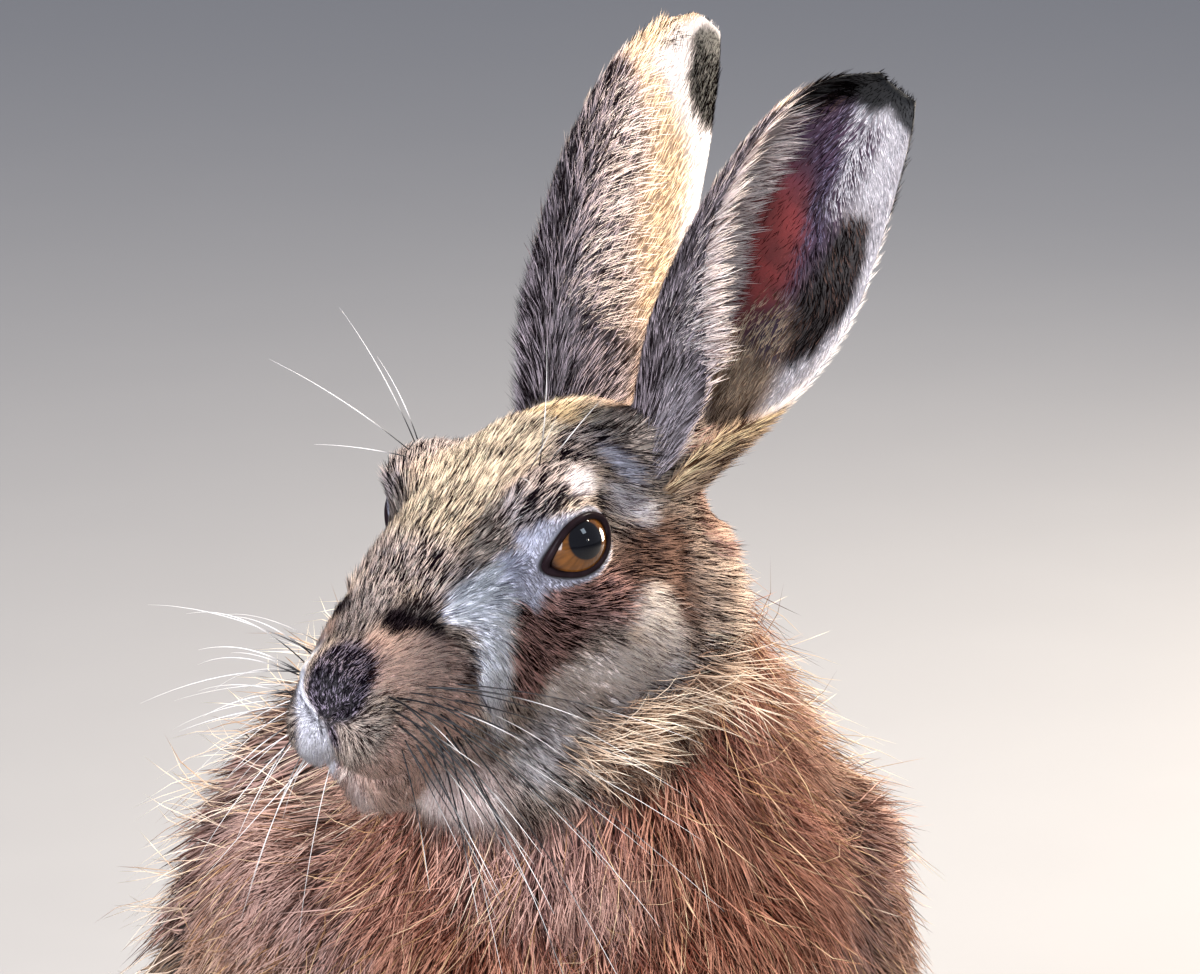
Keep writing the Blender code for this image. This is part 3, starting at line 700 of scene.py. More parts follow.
    def pieces(self, style: TuftStyle, points: Array, tints: Array,
               spots: Array) -> list[bpy.types.Object]:
        """Joins the tufts into meshes of limited size."""
        pattern = tuft_triangles(style.rings)
        each = len(pattern)
        per_piece = MOST_TRIANGLES // each
        made = []
        lots = [np.arange(i, min(i + per_piece, len(points)))
                for i in range(0, len(points), per_piece)]
        for number, lot in enumerate(lots):
            name = style.name if len(lots) == 1 else f"{style.name}_{number + 1}"
            size = points.shape[1]
            triangles = (pattern[None] + np.arange(len(lot))[:, None, None] * size)
            mesh = mesh_from(name, points[lot].reshape(-1, 3), triangles.reshape(-1, 3))
            paint_points(mesh, tints[lot].reshape(-1, 3))
            layer = mesh.uv_layers.new(name=COAT_MAP)
            corners = np.empty(len(mesh.loops), np.int32)
            mesh.loops.foreach_get("vertex_index", corners)
            flat = spots[lot].reshape(-1, 2)[corners]
            layer.data.foreach_set("uv", flat.astype(np.float32).ravel())
            piece = placed(name, mesh, self.material)
            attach(piece, "root")
            LOG.info("%s: %d tufts, %d triangles", name, len(lot), len(mesh.polygons))
            made.append(piece)
        return made


def tuft_triangles(rings: int) -> Array:
    """The triangles of one tuft of three-cornered rings and a tip, closed at its root."""
    found = [(0, 2, 1)]
    for ring in range(rings - 1):
        low, high = 3 * ring, 3 * ring + 3
        for j in range(3):
            k = (j + 1) % 3
            found += [(low + j, low + k, high + k), (low + j, high + k, high + j)]
    last = 3 * (rings - 1)
    found += [(last + j, last + (j + 1) % 3, 3 * rings) for j in range(3)]
    return np.array(found)


# Finishes


def socket(tree: bpy.types.NodeTree, name: str, way: str, kind: str,
           value: float | None = None) -> None:
    """Adds a named socket to a node group."""
    made = tree.interface.new_socket(name=name, in_out=way, socket_type=kind)
    if value is not None:
        made.default_value = value


class StrandGroup:
    """A shader node group that breaks up a colour into fine strands and relief."""

    NAME = "StrandBreakup"

    @classmethod
    def tree(cls) -> bpy.types.NodeTree:
        """The group, built once."""
        known = bpy.data.node_groups.get(cls.NAME)
        if known:
            return known
        tree = bpy.data.node_groups.new(cls.NAME, "ShaderNodeTree")
        socket(tree, "Colour", "INPUT", "NodeSocketColor")
        socket(tree, "Scale", "INPUT", "NodeSocketFloat", 900.0)
        socket(tree, "Contrast", "INPUT", "NodeSocketFloat", 0.3)
        socket(tree, "Roughness", "INPUT", "NodeSocketFloat", 0.6)
        socket(tree, "Relief", "INPUT", "NodeSocketFloat", 0.2)
        socket(tree, "Colour", "OUTPUT", "NodeSocketColor")
        socket(tree, "Roughness", "OUTPUT", "NodeSocketFloat")
        socket(tree, "Normal", "OUTPUT", "NodeSocketVector")
        nodes, links = tree.nodes, tree.links
        given, out = nodes.new("NodeGroupInput"), nodes.new("NodeGroupOutput")
        where = nodes.new("ShaderNodeTexCoord")
        grain = nodes.new("ShaderNodeTexNoise")
        grain.inputs["Detail"].default_value = 5.0
        grain.inputs["Roughness"].default_value = 0.65
        links.new(where.outputs["Object"], grain.inputs["Vector"])
        links.new(given.outputs["Scale"], grain.inputs["Scale"])
        centred = nodes.new("ShaderNodeMath")
        centred.operation = "SUBTRACT"
        centred.inputs[1].default_value = 0.5
        links.new(grain.outputs["Fac"], centred.inputs[0])
        scaled = nodes.new("ShaderNodeMath")
        scaled.operation = "MULTIPLY"
        links.new(centred.outputs[0], scaled.inputs[0])
        links.new(given.outputs["Contrast"], scaled.inputs[1])
        factor = nodes.new("ShaderNodeMath")
        factor.operation = "ADD"
        factor.inputs[1].default_value = 1.0
        links.new(scaled.outputs[0], factor.inputs[0])
        tinted = nodes.new("ShaderNodeVectorMath")
        tinted.operation = "SCALE"
        links.new(given.outputs["Colour"], tinted.inputs[0])
        links.new(factor.outputs[0], tinted.inputs["Scale"])
        links.new(tinted.outputs[0], out.inputs["Colour"])
        rough = nodes.new("ShaderNodeMath")
        rough.operation = "MULTIPLY_ADD"
        rough.inputs[1].default_value = 0.25
        links.new(centred.outputs[0], rough.inputs[0])
        links.new(given.outputs["Roughness"], rough.inputs[2])
        links.new(rough.outputs[0], out.inputs["Roughness"])
        bump = nodes.new("ShaderNodeBump")
        bump.inputs["Distance"].default_value = 0.0004
        links.new(given.outputs["Relief"], bump.inputs["Strength"])
        links.new(grain.outputs["Fac"], bump.inputs["Height"])
        links.new(bump.outputs["Normal"], out.inputs["Normal"])
        return tree


@dataclass(frozen=True)
class HairFinish:
    """A finish that takes its colour from the painted points and breaks it into strands."""

    name: str
    scale: float = 900.0
    contrast: float = 0.3
    roughness: float = 0.62
    relief: float = 0.15
    sheen: float = 0.0
    specular: float = 0.0

    def material(self) -> bpy.types.Material:
        """The finish as a material."""
        made = bpy.data.materials.new(self.name)
        made.use_nodes = True
        nodes, links = made.node_tree.nodes, made.node_tree.links
        shader = nodes["Principled BSDF"]
        shader.inputs["Sheen Weight"].default_value = self.sheen
        shader.inputs["Specular IOR Level"].default_value = self.specular
        colour = nodes.new("ShaderNodeVertexColor")
        colour.layer_name = COAT_COLOUR
        strands = nodes.new("ShaderNodeGroup")
        strands.node_tree = StrandGroup.tree()
        strands.inputs["Scale"].default_value = self.scale
        strands.inputs["Contrast"].default_value = self.contrast
        strands.inputs["Roughness"].default_value = self.roughness
        strands.inputs["Relief"].default_value = self.relief
        links.new(colour.outputs["Color"], strands.inputs["Colour"])
        links.new(strands.outputs["Colour"], shader.inputs["Base Color"])
        links.new(strands.outputs["Roughness"], shader.inputs["Roughness"])
        links.new(strands.outputs["Normal"], shader.inputs["Normal"])
        return made


@dataclass(frozen=True)
class WetFinish:
    """A moist finish with a clear coat, for the eyes and their rims."""

    name: str
    roughness: float = 0.3
    coat: float = 1.0
    coat_roughness: float = 0.02
    scale: float = 1500.0
    contrast: float = 0.2
    relief: float = 0.05

    def material(self) -> bpy.types.Material:
        """The finish as a material."""
        base = HairFinish(self.name, self.scale, self.contrast, self.roughness, self.relief,
                          specular=0.0)
        made = base.material()
        shader = made.node_tree.nodes["Principled BSDF"]
        shader.inputs["Coat IOR"].default_value = 1.38
        shader.inputs["Coat Weight"].default_value = self.coat
        shader.inputs["Coat Roughness"].default_value = self.coat_roughness
        return made


# The eyes' own shapes


@dataclass(frozen=True)
class EyeShape:
    """The eyeball and the opening between the lids, on the left side of the head.

    Millimetres in the head's frame; the front corner lies lower by tilt degrees.
    """

    centre: Point = (21.6, 1.6, 0.4)
    facing: Point = (0.955, -0.22, 0.12)
    radius: float = 9.8
    half_long: float = 8.6
    half_high: float = 6.0
    tilt: float = 21.0

    def axes(self, side: int) -> tuple[Array, Array, Array]:
        """Facing, along to the rear corner and up, for the left (1) or right (-1) eye."""
        facing = unit(np.array(self.facing))
        rear = unit(np.array([0.0, 1.0, 0.0]) - facing * facing[1])
        up = np.cross(facing, rear)
        up = up if up[2] > 0 else -up
        tilt = math.radians(self.tilt)
        along = unit(rear * math.cos(tilt) + up * math.sin(tilt))
        high = unit(up * math.cos(tilt) - rear * math.sin(tilt))
        flip = np.array([side, 1.0, 1.0])
        return facing * flip, along * flip, high * flip

    def middle(self, side: int) -> Array:
        """The eyeball's middle on that side."""
        return np.array(self.centre) * np.array([side, 1.0, 1.0])

    def rim(self, angles: Array) -> tuple[Array, Array]:
        """The opening's half widths at the angles round it, along and up."""
        c, s = np.cos(angles), np.sin(angles)
        pointed = np.abs(c) ** 6
        long = self.half_long * (1 + np.where(c < 0, 0.06, 0.01) * pointed) * c
        high = self.half_high * s * (1 - 0.18 * (c < 0) * c**2)
        return long, high

    def measure(self, places: Array, side: int) -> tuple[Array, Array, Array]:
        """Places round an eye as it sees them.

        Args:
            places: in the head's millimetres.
            side: 1 for the left eye and -1 for the right.

        Returns:
            The distance from the eyeball's middle; how far out the place lies, 1 at the
            rim of the opening; and the directions away from the opening.
        """
        facing, along, high = self.axes(side)
        offset = places - self.middle(side)
        away = np.linalg.norm(offset, axis=1)
        towards = offset / np.maximum(away, 1e-6)[:, None]
        angle = np.arccos(np.clip(towards @ facing, -1, 1))
        u, v = towards @ along, towards @ high
        turn = np.arctan2(v / self.half_high, u / self.half_long)
        long, tall = self.rim(turn)
        reach = np.arcsin(np.clip(np.hypot(long, tall) / self.radius, 0, 0.985))
        outward = unit(u[:, None] * along + v[:, None] * high)
        return away, angle / reach, outward


EYE = EyeShape()


# The skin


@dataclass
class HareSkin:
    """One skin over the whole body, inside the solids by the coat's depth."""

    frame: HeadFrame
    swell: float = 0.35
    voxel: float = 2.1
    depths: tuple[tuple[str, float], ...] = (
        ("head", 2.2), ("neck", 8.0), ("torso", 8.5), ("tail", 5.0), ("foreleg", 4.5),
        ("forepaw", 2.4), ("hindleg", 6.0), ("hindfoot", 2.6),
    )
    nostril: tuple[Point, ...] = (
        (2.4, -61.2, -28.8), (4.8, -60.2, -27.0), (7.4, -58.0, -24.9),
    )
    cleft: tuple[Point, ...] = (
        (0, -62.0, -29.0), (0, -61.0, -34), (0, -58.0, -38.5), (0, -55.5, -42.0),
    )
    mouth: tuple[Point, ...] = (
        (-1.5, -55.5, -41.5), (6, -54.5, -43.0), (12.5, -49.5, -44.5), (17.5, -41, -44.5),
        (21, -31, -43),
    )
    fold: tuple[Point, ...] = (
        (12, -40.5, -7), (15, -37, -8), (16, -30, -15), (19, -27, -20), (19.5, -28, -26),
        (19, -27, -31),
    )

    def gathered(self) -> tuple[Array, Array, Array]:
        """The flesh solids and eyeballs swollen into one another, with each face's node."""
        points, triangles, owners = [], [], []
        start = 0
        for name in FLESH_NODES + EYE_NODES:
            node = bpy.data.objects[name]
            bm = bmesh.new()
            bm.from_mesh(node.data)
            bmesh.ops.remove_doubles(bm, verts=bm.verts, dist=1e-6)
            bmesh.ops.triangulate(bm, faces=bm.faces)
            bm.normal_update()
            for vert, push in [(v, v.normal * self.swell * MM) for v in bm.verts]:
                vert.co += push
            bm.verts.index_update()
            points += [tuple(vert.co) for vert in bm.verts]
            triangles += [[v.index + start for v in face.verts] for face in bm.faces]
            owner = "head" if name in EYE_NODES else name.split("_")[0]
            owners += [owner] * len(bm.faces)
            start = len(points)
            bm.free()
        return np.array(points), np.array(triangles), np.array(owners)

    def shell(self, points: Array, triangles: Array) -> bmesh.types.BMesh:
        """The gathered solids remeshed into one closed surface, finer on the face."""
        mesh = mesh_from("skin_blank", points, triangles)
        blank = bpy.data.objects.new("skin_blank", mesh)
        bpy.context.scene.collection.objects.link(blank)
        remesh = blank.modifiers.new("one_skin", "REMESH")
        remesh.mode = "VOXEL"
        remesh.voxel_size = self.voxel * MM
        graph = bpy.context.evaluated_depsgraph_get()
        made = bpy.data.meshes.new_from_object(blank.evaluated_get(graph))
        bpy.data.objects.remove(blank)
        bm = bmesh.new()
        bm.from_mesh(made)
        bpy.data.meshes.remove(made)
        for fine in range(2):
            bm.verts.index_update()
            places = self.frame.inward(np.array([vert.co[:] for vert in bm.verts]))
            if fine == 0:
                wanted = (places[:, 1] < 46) & (places[:, 2] > -62) & (np.abs(places[:, 0]) < 44)
            else:
                wanted = self.fine_places(places)
            edges = [e for e in bm.edges if wanted[e.verts[0].index] and wanted[e.verts[1].index]]
            bmesh.ops.subdivide_edges(bm, edges=edges, cuts=1, use_grid_fill=True)
        bmesh.ops.triangulate(bm, faces=bm.faces)
        return bm

    @staticmethod
    def fine_places(places: Array) -> Array:
        """Where the skin needs its finest mesh: round the eyes, the nose and the lips."""
        paired = places * np.array([1, 1, 1])
        paired[:, 0] = np.abs(paired[:, 0])
        eye = np.linalg.norm(paired - np.array([27.0, -3.0, 1.0]), axis=1) < 15.5
        nose = np.linalg.norm(paired - np.array([3.0, -57.0, -31.0]), axis=1) < 16.5
        return eye | nose

    def owners_of(self, surface: Surface, points: Array, triangles: Array,
                  owners: Array) -> dict[str, Array]:
        """How much each point belongs to each part of the body."""
        tree = BVHTree.FromPolygons(points.tolist(), triangles.tolist())
        nearest = np.array([tree.find_nearest(Vector(p))[2] for p in surface.points])
        named = owners[nearest]
        found = {}
        for part in sorted(set(owners)):
            found[part] = surface.relaxed((named == part).astype(float), 14)
        return found

    def build(self) -> tuple[Surface, dict[str, Array]]:
        """The skin's surface, and how much each point belongs to each part."""
        points, triangles, owners = self.gathered()
        bm = self.shell(points, triangles)
        mesh = bpy.data.meshes.new("skin_shape")
        bm.to_mesh(mesh)
        bm.free()
        surface = Surface(*arrays_of(mesh))
        bpy.data.meshes.remove(mesh)
        parts = self.owners_of(surface, points, triangles, owners)
        self.take_off_claws(surface, parts)
        surface.points = surface.relaxed(surface.points, 8, 0.5 * (1 - 0.75 * parts["head"]))
        self.sink(surface, parts)
        self.shape_lids(surface)
        self.press_lines(surface)
        LOG.info("skin: %d triangles", len(surface.triangles))
        return surface, parts

    @staticmethod
    def take_off_claws(surface: Surface, parts: dict[str, Array]) -> None:
        """Draws the claws back into the toes, since they are pieces of their own."""
        y = surface.points[:, 1]
        fore = fade(-0.1635, -0.1665, y) * (parts["forepaw"] > 0.3)
        hind = fade(-0.0645, -0.0675, y) * (parts["hindfoot"] > 0.3)
        surface.points = surface.relaxed(surface.points, 90, 0.6 * np.maximum(fore, hind))

    def sink(self, surface: Surface, parts: dict[str, Array]) -> None:
        """Moves the skin inwards by the depth of the coat that grows on it."""
        depth = sum(parts[name] * value for name, value in self.depths)
        places = self.frame.inward(surface.points)
        snout = Zone(((0, -62, -20), (0, -50, -34)), 26, 0.6).mask(places)
        eyes = Zone(((26, -2, 1),), 22, 0.6).mask(places)
        jaw = Zone(((24, 2, -58), (33, 28, -48)), 16, 0.7).mask(places) * parts["head"]
        depth = depth * (1 - 0.62 * snout) * (1 - 0.45 * eyes * parts["head"]) + 2.0 * jaw
        depth = surface.relaxed(depth, 12)
        smooth = 0.45 * (1 - parts["head"])
        for _ in range(6):
            inward = unit(surface.relaxed(surface.normals(), 3))
            surface.points = surface.points - inward * (depth * MM / 6)[:, None]
            surface.points = surface.relaxed(surface.points, 2, smooth)

    @staticmethod
    def lid_radius(away: Array, out: Array) -> Array:
        """The distance from the eyeball's middle that the lids give a point."""
        margin = EYE.radius + 0.75 + 0.45 * fade(1.0, 1.35, out)
        inside = EYE.radius - 1.1
        lids = inside + (margin - inside) * fade(0.93, 1.03, out)
        blend = fade(1.25, 2.0, out)
        return lids * (1 - blend) + np.maximum(away, EYE.radius - 1.0) * blend

    def shape_lids(self, surface: Surface) -> None:
        """Lays the skin round each eye on the eyeball, open between the lids."""
        places = self.frame.inward(surface.points)
        for side in (1, -1):
            away, out, _ = EYE.measure(places, side)
            near = (out < 2.0) & (away < EYE.radius + 8) & (places[:, 0] * side > 12)
            middle = EYE.middle(side)
            towards = (places[near] - middle) / away[near, None]
            reach = self.lid_radius(away[near], out[near])
            places[near] = middle + towards * reach[:, None]
        surface.points = self.frame.outward(places)

    def press_lines(self, surface: Surface) -> None:
        """Presses the nostrils, cleft, mouth line and the pads' rear folds into the skin."""
        lines = ((self.nostril, 0.7, 1.6), (self.cleft, 0.8, 1.4), (self.mouth, 1.3, 2.6),
                 (self.fold, 2.0, 1.7))
        for path, width, depth in lines:
            places = self.frame.inward(surface.points)
            normals = surface.normals() @ self.frame.axes()
            beside = line_distance(places, normals, path)
            push = depth * np.exp(-((beside / width) ** 2))
            surface.points = self.frame.outward(places - normals * push[:, None])


def line_distance(places: Array, normals: Array, path: Sequence[Point]) -> Array:
    """How far places lie beside a line drawn on the skin, on both sides of the head."""
    paired, flipped = places.copy(), normals.copy()
    flipped[:, 0] *= np.where(paired[:, 0] < 0, -1, 1)
    paired[:, 0] = np.abs(paired[:, 0])
    offset = distance_to_path(paired, path)[1]
    over = (offset * flipped).sum(axis=1)
    beside = np.linalg.norm(offset - flipped * over[:, None], axis=1)
    return np.where(np.abs(over) < 7, beside, 99.0)


# Markings and lie of the coat


class Markings:
    """Paints the coat's colours, lengths and lie on the skin."""

    HEAD_COLOURS: tuple[tuple[Zone, Pelage, float], ...] = (
        (Zone(((0, -30, 6), (0, -4, 20), (0, 22, 26)), 17, 0.55), FOREHEAD, 1.0),
        (Zone(((24, -13, 12), (23, -3, 19.5), (19, 9, 20.5), (14, 21, 21.5)), 9.0, 0.45),
         BRIDGE, 1.0),
        (Zone(((0, -46, -6), (1, -41, -2), (2, -33, 4), (12, -30, 1)), 10, 0.6), BRIDGE, 1.0),
        (Zone(((0, 58, 4), (0, 50, -30)), 34, 0.6), RUFOUS, 0.8),
        (Zone(((29, 14, -9), (29, 24, -5), (28, 33, -8), (31, 30, -22)), 12, 0.7),
         TEMPLE, 0.9),
        (Zone(((27, 16, -41), (31, 25, -37)), 9, 0.6), CHEEK, 0.9),
        (Zone(((21, -1, -38), (18, -5, -45), (17, -9, -51)), 9, 0.6), CHEEK, 1.0),
        (Zone(((32, 20, -20), (34, 26, -27), (33, 23, -33), (30, 13, -33), (26, 4, -34),
               (23, -2, -35)), 9.0, 0.45), CREAM, 1.0),
        # A thin dark band along the jaw under its fringe: painted shadow of the fringe.
        (Zone(((22, -3, -47), (24.5, 4.5, -44.5), (28, 15, -43.5), (31, 25, -41)), 3.0, 0.7),
         TEMPLE, 0.6),
        (Zone(((0, -44, -54), (0, -18, -60)), 18, 0.6), CHIN, 1.0),
        (Zone(((11, -30, -46), (14, -21, -46)), 6, 0.6), CHIN, 0.9),
        (Zone(((24, 8, -56), (33, 24, -53), (36, 36, -46)), 10, 0.7), JAW, 1.0),
        (Zone(((26, -7, -11), (28, 2, -12), (30, 9, -14)), 9.5, 0.55), CHEEK_PATCH, 0.95),
        (Zone(((27, -3, -18), (26, -9, -23)), 10.5, 0.6), CHEEK_PATCH, 0.97),
        (Zone(((22.5, -15, -2.5), (20.5, -19, -5), (18, -27, -7.5)), 6.8, 0.35), STREAK, 1.0),
        (Zone(((21.5, -20, -8), (21.3, -22.5, -12), (21.2, -23.2, -21), (20, -22.5, -29)),
              5.6, 0.35), STREAK, 1.0),
        (Zone(((20, -22, -29), (18, -20.5, -37), (15, -17.6, -43)), 3.8, 0.6), STREAK, 0.8),
        (Zone(((25.8, -12, -11), (25.4, -13.6, -16), (24.8, -14.4, -22), (23, -13.0, -31)),
              5.3, 0.16), CHEEK_PATCH, 1.0),
        (Zone(((22.5, -12.5, 4), (24.3, -13, -0.5), (26.3, -8.6, 6)), 4.6, 0.5),
         EYE_RING, 1.0),
        (Zone(((27, 4, 15.8), (25.5, 13, 13.5), (24, 20, 8.5), (26, 26, 3)), 5.4, 0.45),
         BROW, 1.0),
        (Zone(((18.3, 23.5, 17), (22.1, 27.6, 10.8)), 4.6, 0.6), EYE_RING, 0.9),
        (Zone(((12, -46, -16), (15.5, -36, -21), (16.5, -34, -33), (17, -45, -34),
               (10, -50, -42), (7, -43, -46)), 10.5, 0.35), PAD, 1.0),
        # These two zones paint shade, near-black, into the folds behind the whisker pads.
        (Zone(((9.5, -44, -7.5), (11.5, -41, -6.8), (15, -36.5, -8.6)), 5.2, 0.45), CREASE_SHADE, 1.0),
        (Zone(((15, -36.5, -8.6), (16, -30.5, -14.5), (19, -27.5, -20), (19.5, -28.3, -26)),
              4.0, 0.5), CREASE_SHADE, 0.9),
        (Zone(((4.4, -55.5, -17.5), (4.7, -59.5, -21.5)), 8.5, 0.26, False), NOSE, 1.0),
        (Zone(((2.0, -61, -30), (2.5, -60.5, -34)), 3.6, 0.6, False), NOSE, 0.9),
        (Zone(((-10, -52, -10), (-9.5, -57, -17), (-8, -59.5, -24), (-4.5, -61, -29),
               (-3.5, -59.5, -34), (-9, -52, -44)), 5.6, 0.45, False), WHITE_LIP, 1.0),
        (Zone(((1, 23, 25), (6, 22, 24.5), (0, 31, 27)), 6, 0.7), GOLD, 0.9),
    )
    HEAD_LENGTHS: tuple[tuple[Zone, float], ...] = (
        (Zone(((0, -20, 10), (0, 30, 28)), 30, 0.7), 5.6),
        (Zone(((30, 20, -20),), 26, 0.6), 6.5),
        (Zone(((28, 14, -48),), 20, 0.7), 8.5),
        (Zone(((0, -44, -56), (0, -10, -62)), 22, 0.7), 9.0),
        (Zone(((33, 34, -44), (34, 44, -20)), 18, 0.7), 12.0),
        (Zone(((0, 56, 0),), 26, 0.7), 10.0),
        (Zone(((20, -20, -14),), 14, 0.7), 5.4),
        (Zone(((0, -40, -2),), 18, 0.7), 4.4),
        (Zone(((10, -48, -33),), 17, 0.6), 2.8),
        (Zone(((14, -33, -2), (18, -25, -6)), 8, 0.6), 7.0),
        (Zone(((26, -1, 1),), 19, 0.6), 3.2),
        (Zone(((18, 24, 17), (22, 28, 11)), 7, 0.6), 6.5),
        (Zone(((0, -60, -22),), 14, 0.5), 1.6),
        (Zone(((0, 27, 28),), 10, 0.7), 10.0),
        (Zone(((28, 43, 10), (27, 47, 0), (26, 50, -8)), 9, 0.6), 11.0),
    )
    HEAD_COMB: tuple[CombGuide, ...] = (
        CombGuide((0, -62, -22), (0, 0.3, 1)),
        CombGuide((0, -50, -9), (0, 0.8, 0.6)),
        CombGuide((0, -41, -2), (0.05, 0.75, 0.65)),
        CombGuide((0, -20, 12), (0, 0.9, 0.45)),
        CombGuide((4, -5, 19), (0.15, 0.9, 0.4)),
        CombGuide((4, 10, 23), (0.1, 0.97, 0.25)),
        CombGuide((0, 22, 26), (0, 1, 0.1)),
        CombGuide((0, 55, 15), (0, 0.8, -0.6)),
        CombGuide((9, -52, -14), (0.4, 0.7, 0.5)),
        CombGuide((10.5, -39, -4), (0.05, 0.35, 0.95)),
        CombGuide((12.5, -30, 0.5), (0.3, 0.6, 0.7)),
        CombGuide((18, -27, -5.5), (0.6, 0.7, 0.35)),
        CombGuide((18, -21, 0.5), (0.5, 0.7, 0.45)),
        CombGuide((21.5, -21.5, -11), (0.6, 0.5, -0.62)),
        CombGuide((21.8, -22, -21), (0.4, 0.2, -0.9)),
        CombGuide((19.7, -22, -32), (0.3, 0.08, -0.95)),
        CombGuide((14, -48, -21), (0.55, 0.8, 0.1)),
        CombGuide((17, -31, -20), (0.5, 0.75, -0.35)),
        CombGuide((18.5, -46, -29), (0.6, 0.6, -0.5)),
        CombGuide((17, -36, -36), (0.4, 0.5, -0.75)),
        CombGuide((10, -46, -46), (0.3, 0.1, -0.95)),
        CombGuide((3, -60, -35), (0.4, 0.1, -0.9)),
        CombGuide((0, -42, -54), (0, 0.7, -0.6)),
        CombGuide((0, -20, -60), (0, 0.85, -0.5)),
        CombGuide((14, -21, -44), (0.3, 0.3, -0.9)),
        CombGuide((21, -13.6, 6), (0.45, 0.7, 0.55)),
        CombGuide((25, -6.5, 17), (0.3, 0.85, 0.4)),
        CombGuide((27, 8, 15), (0.2, 0.95, 0.2)),
        CombGuide((23, 21, 9), (0.3, 0.85, -0.3)),
        CombGuide((18, 24, 17), (0.3, 0.8, -0.45)),
        CombGuide((14, 21, 21), (0.1, 1, 0.2)),
        CombGuide((27, -4, -11), (0.3, 0.9, -0.25)),
        CombGuide((24, -15, -13), (0.5, 0.35, -0.8)),
        CombGuide((24, -15, -23), (0.4, 0.35, -0.85)),
        CombGuide((26, -4.5, -20), (0.4, 0.7, -0.6)),
        CombGuide((29, 4, -12), (0.2, 0.95, -0.25)),
        CombGuide((31, 15, -29), (0.2, 0.75, -0.65)),
        CombGuide((19, -4, -44), (0.5, 0.5, -0.7)),
        CombGuide((28, 16, -43), (0.3, 0.75, -0.55)),
        CombGuide((32, 29, -40), (0.25, 0.8, -0.5)),
        CombGuide((31, 30, -20), (0.2, 0.85, -0.45)),
        CombGuide((28, 32, -7), (0.1, 0.95, -0.2)),
        CombGuide((24, 52, -8), (0.25, 0.85, -0.3)),
        CombGuide((28, 44, 8), (0.5, 0.8, 0.1)),
    )
    BODY_COMB: tuple[CombGuide, ...] = (
        CombGuide((0, -40, 275), (0, 0.8, -0.6)),
        CombGuide((0, 0, 245), (0, 0.85, -0.5)),
        CombGuide((0, 50, 215), (0, 0.8, -0.6)),
        CombGuide((0, 105, 150), (0, 0.5, -0.85)),
        CombGuide((0, 130, 80), (0, 0.2, -1)),
        CombGuide((60, 10, 210), (0.15, 0.75, -0.65)),
        CombGuide((95, 20, 150), (0.1, 0.6, -0.8)),
        CombGuide((90, 60, 80), (0, 0.5, -0.86)),
        CombGuide((105, 10, 90), (0, 0.45, -0.88)),
        CombGuide((98, -50, 70), (0, 0.2, -1)),
        CombGuide((72, -60, 165), (0.12, 0.3, -0.95)),
        CombGuide((60, -95, 120), (0.1, 0.1, -1)),
        CombGuide((46, -112, 80), (0, -0.15, -1)),
        CombGuide((40, -130, 45), (0, -0.4, -0.9)),
        CombGuide((38, -150, 20), (0, -0.95, -0.2)),
        CombGuide((85, 0, 22), (0, -0.97, -0.1)),
        CombGuide((85, 70, 22), (0, -0.5, -0.8)),
        CombGuide((-22, -145, 210), (-0.05, -0.2, -1)),
        CombGuide((0, -145, 170), (0, -0.12, -1)),
        CombGuide((0, -135, 120), (0, 0.3, -0.95)),
        CombGuide((40, -130, 185), (0.45, 0.05, -0.9)),
        CombGuide((-50, -125, 180), (-0.4, 0.05, -0.9)),
        CombGuide((64, -95, 215), (0.5, 0.3, -0.8)),
        CombGuide((50, -70, 255), (0.45, 0.45, -0.75)),
        CombGuide((-60, -70, 205), (-0.4, 0.3, -0.85)),
        CombGuide((0, -30, 60), (0, 0.9, -0.3)),
        CombGuide((0, 60, 30), (0, 1, -0.1)),
        CombGuide((0, 150, 60), (0, 1, 0)),
        CombGuide((0, 150, 20), (0, 1, 0)),
    )

    def __init__(self, surface: Surface, parts: dict[str, Array], frame: HeadFrame,
                 skin: HareSkin) -> None:
        """Starts the field and keeps the places in both frames."""
        self.surface = surface
        self.parts = parts
        self.frame = frame
        self.skin = skin
        self.field = CoatField(surface, FLANK)
        self.on_head = frame.inward(surface.points)
        self.on_body = surface.points / MM
        self.head = fade(0.25, 0.75, parts["head"])

    def build(self) -> CoatField:
        """The whole field."""
        self.lengths()
        self.lie()
        self.body_colours()
        self.head_colours()
        self.thin_out()
        return self.field

    def seen_at(self) -> Array:
        """Where the hairs of each point show, in the head's millimetres."""
        run = self.field.lie @ self.frame.axes()
        return self.on_head + run * (0.5 * self.field.length)[:, None]

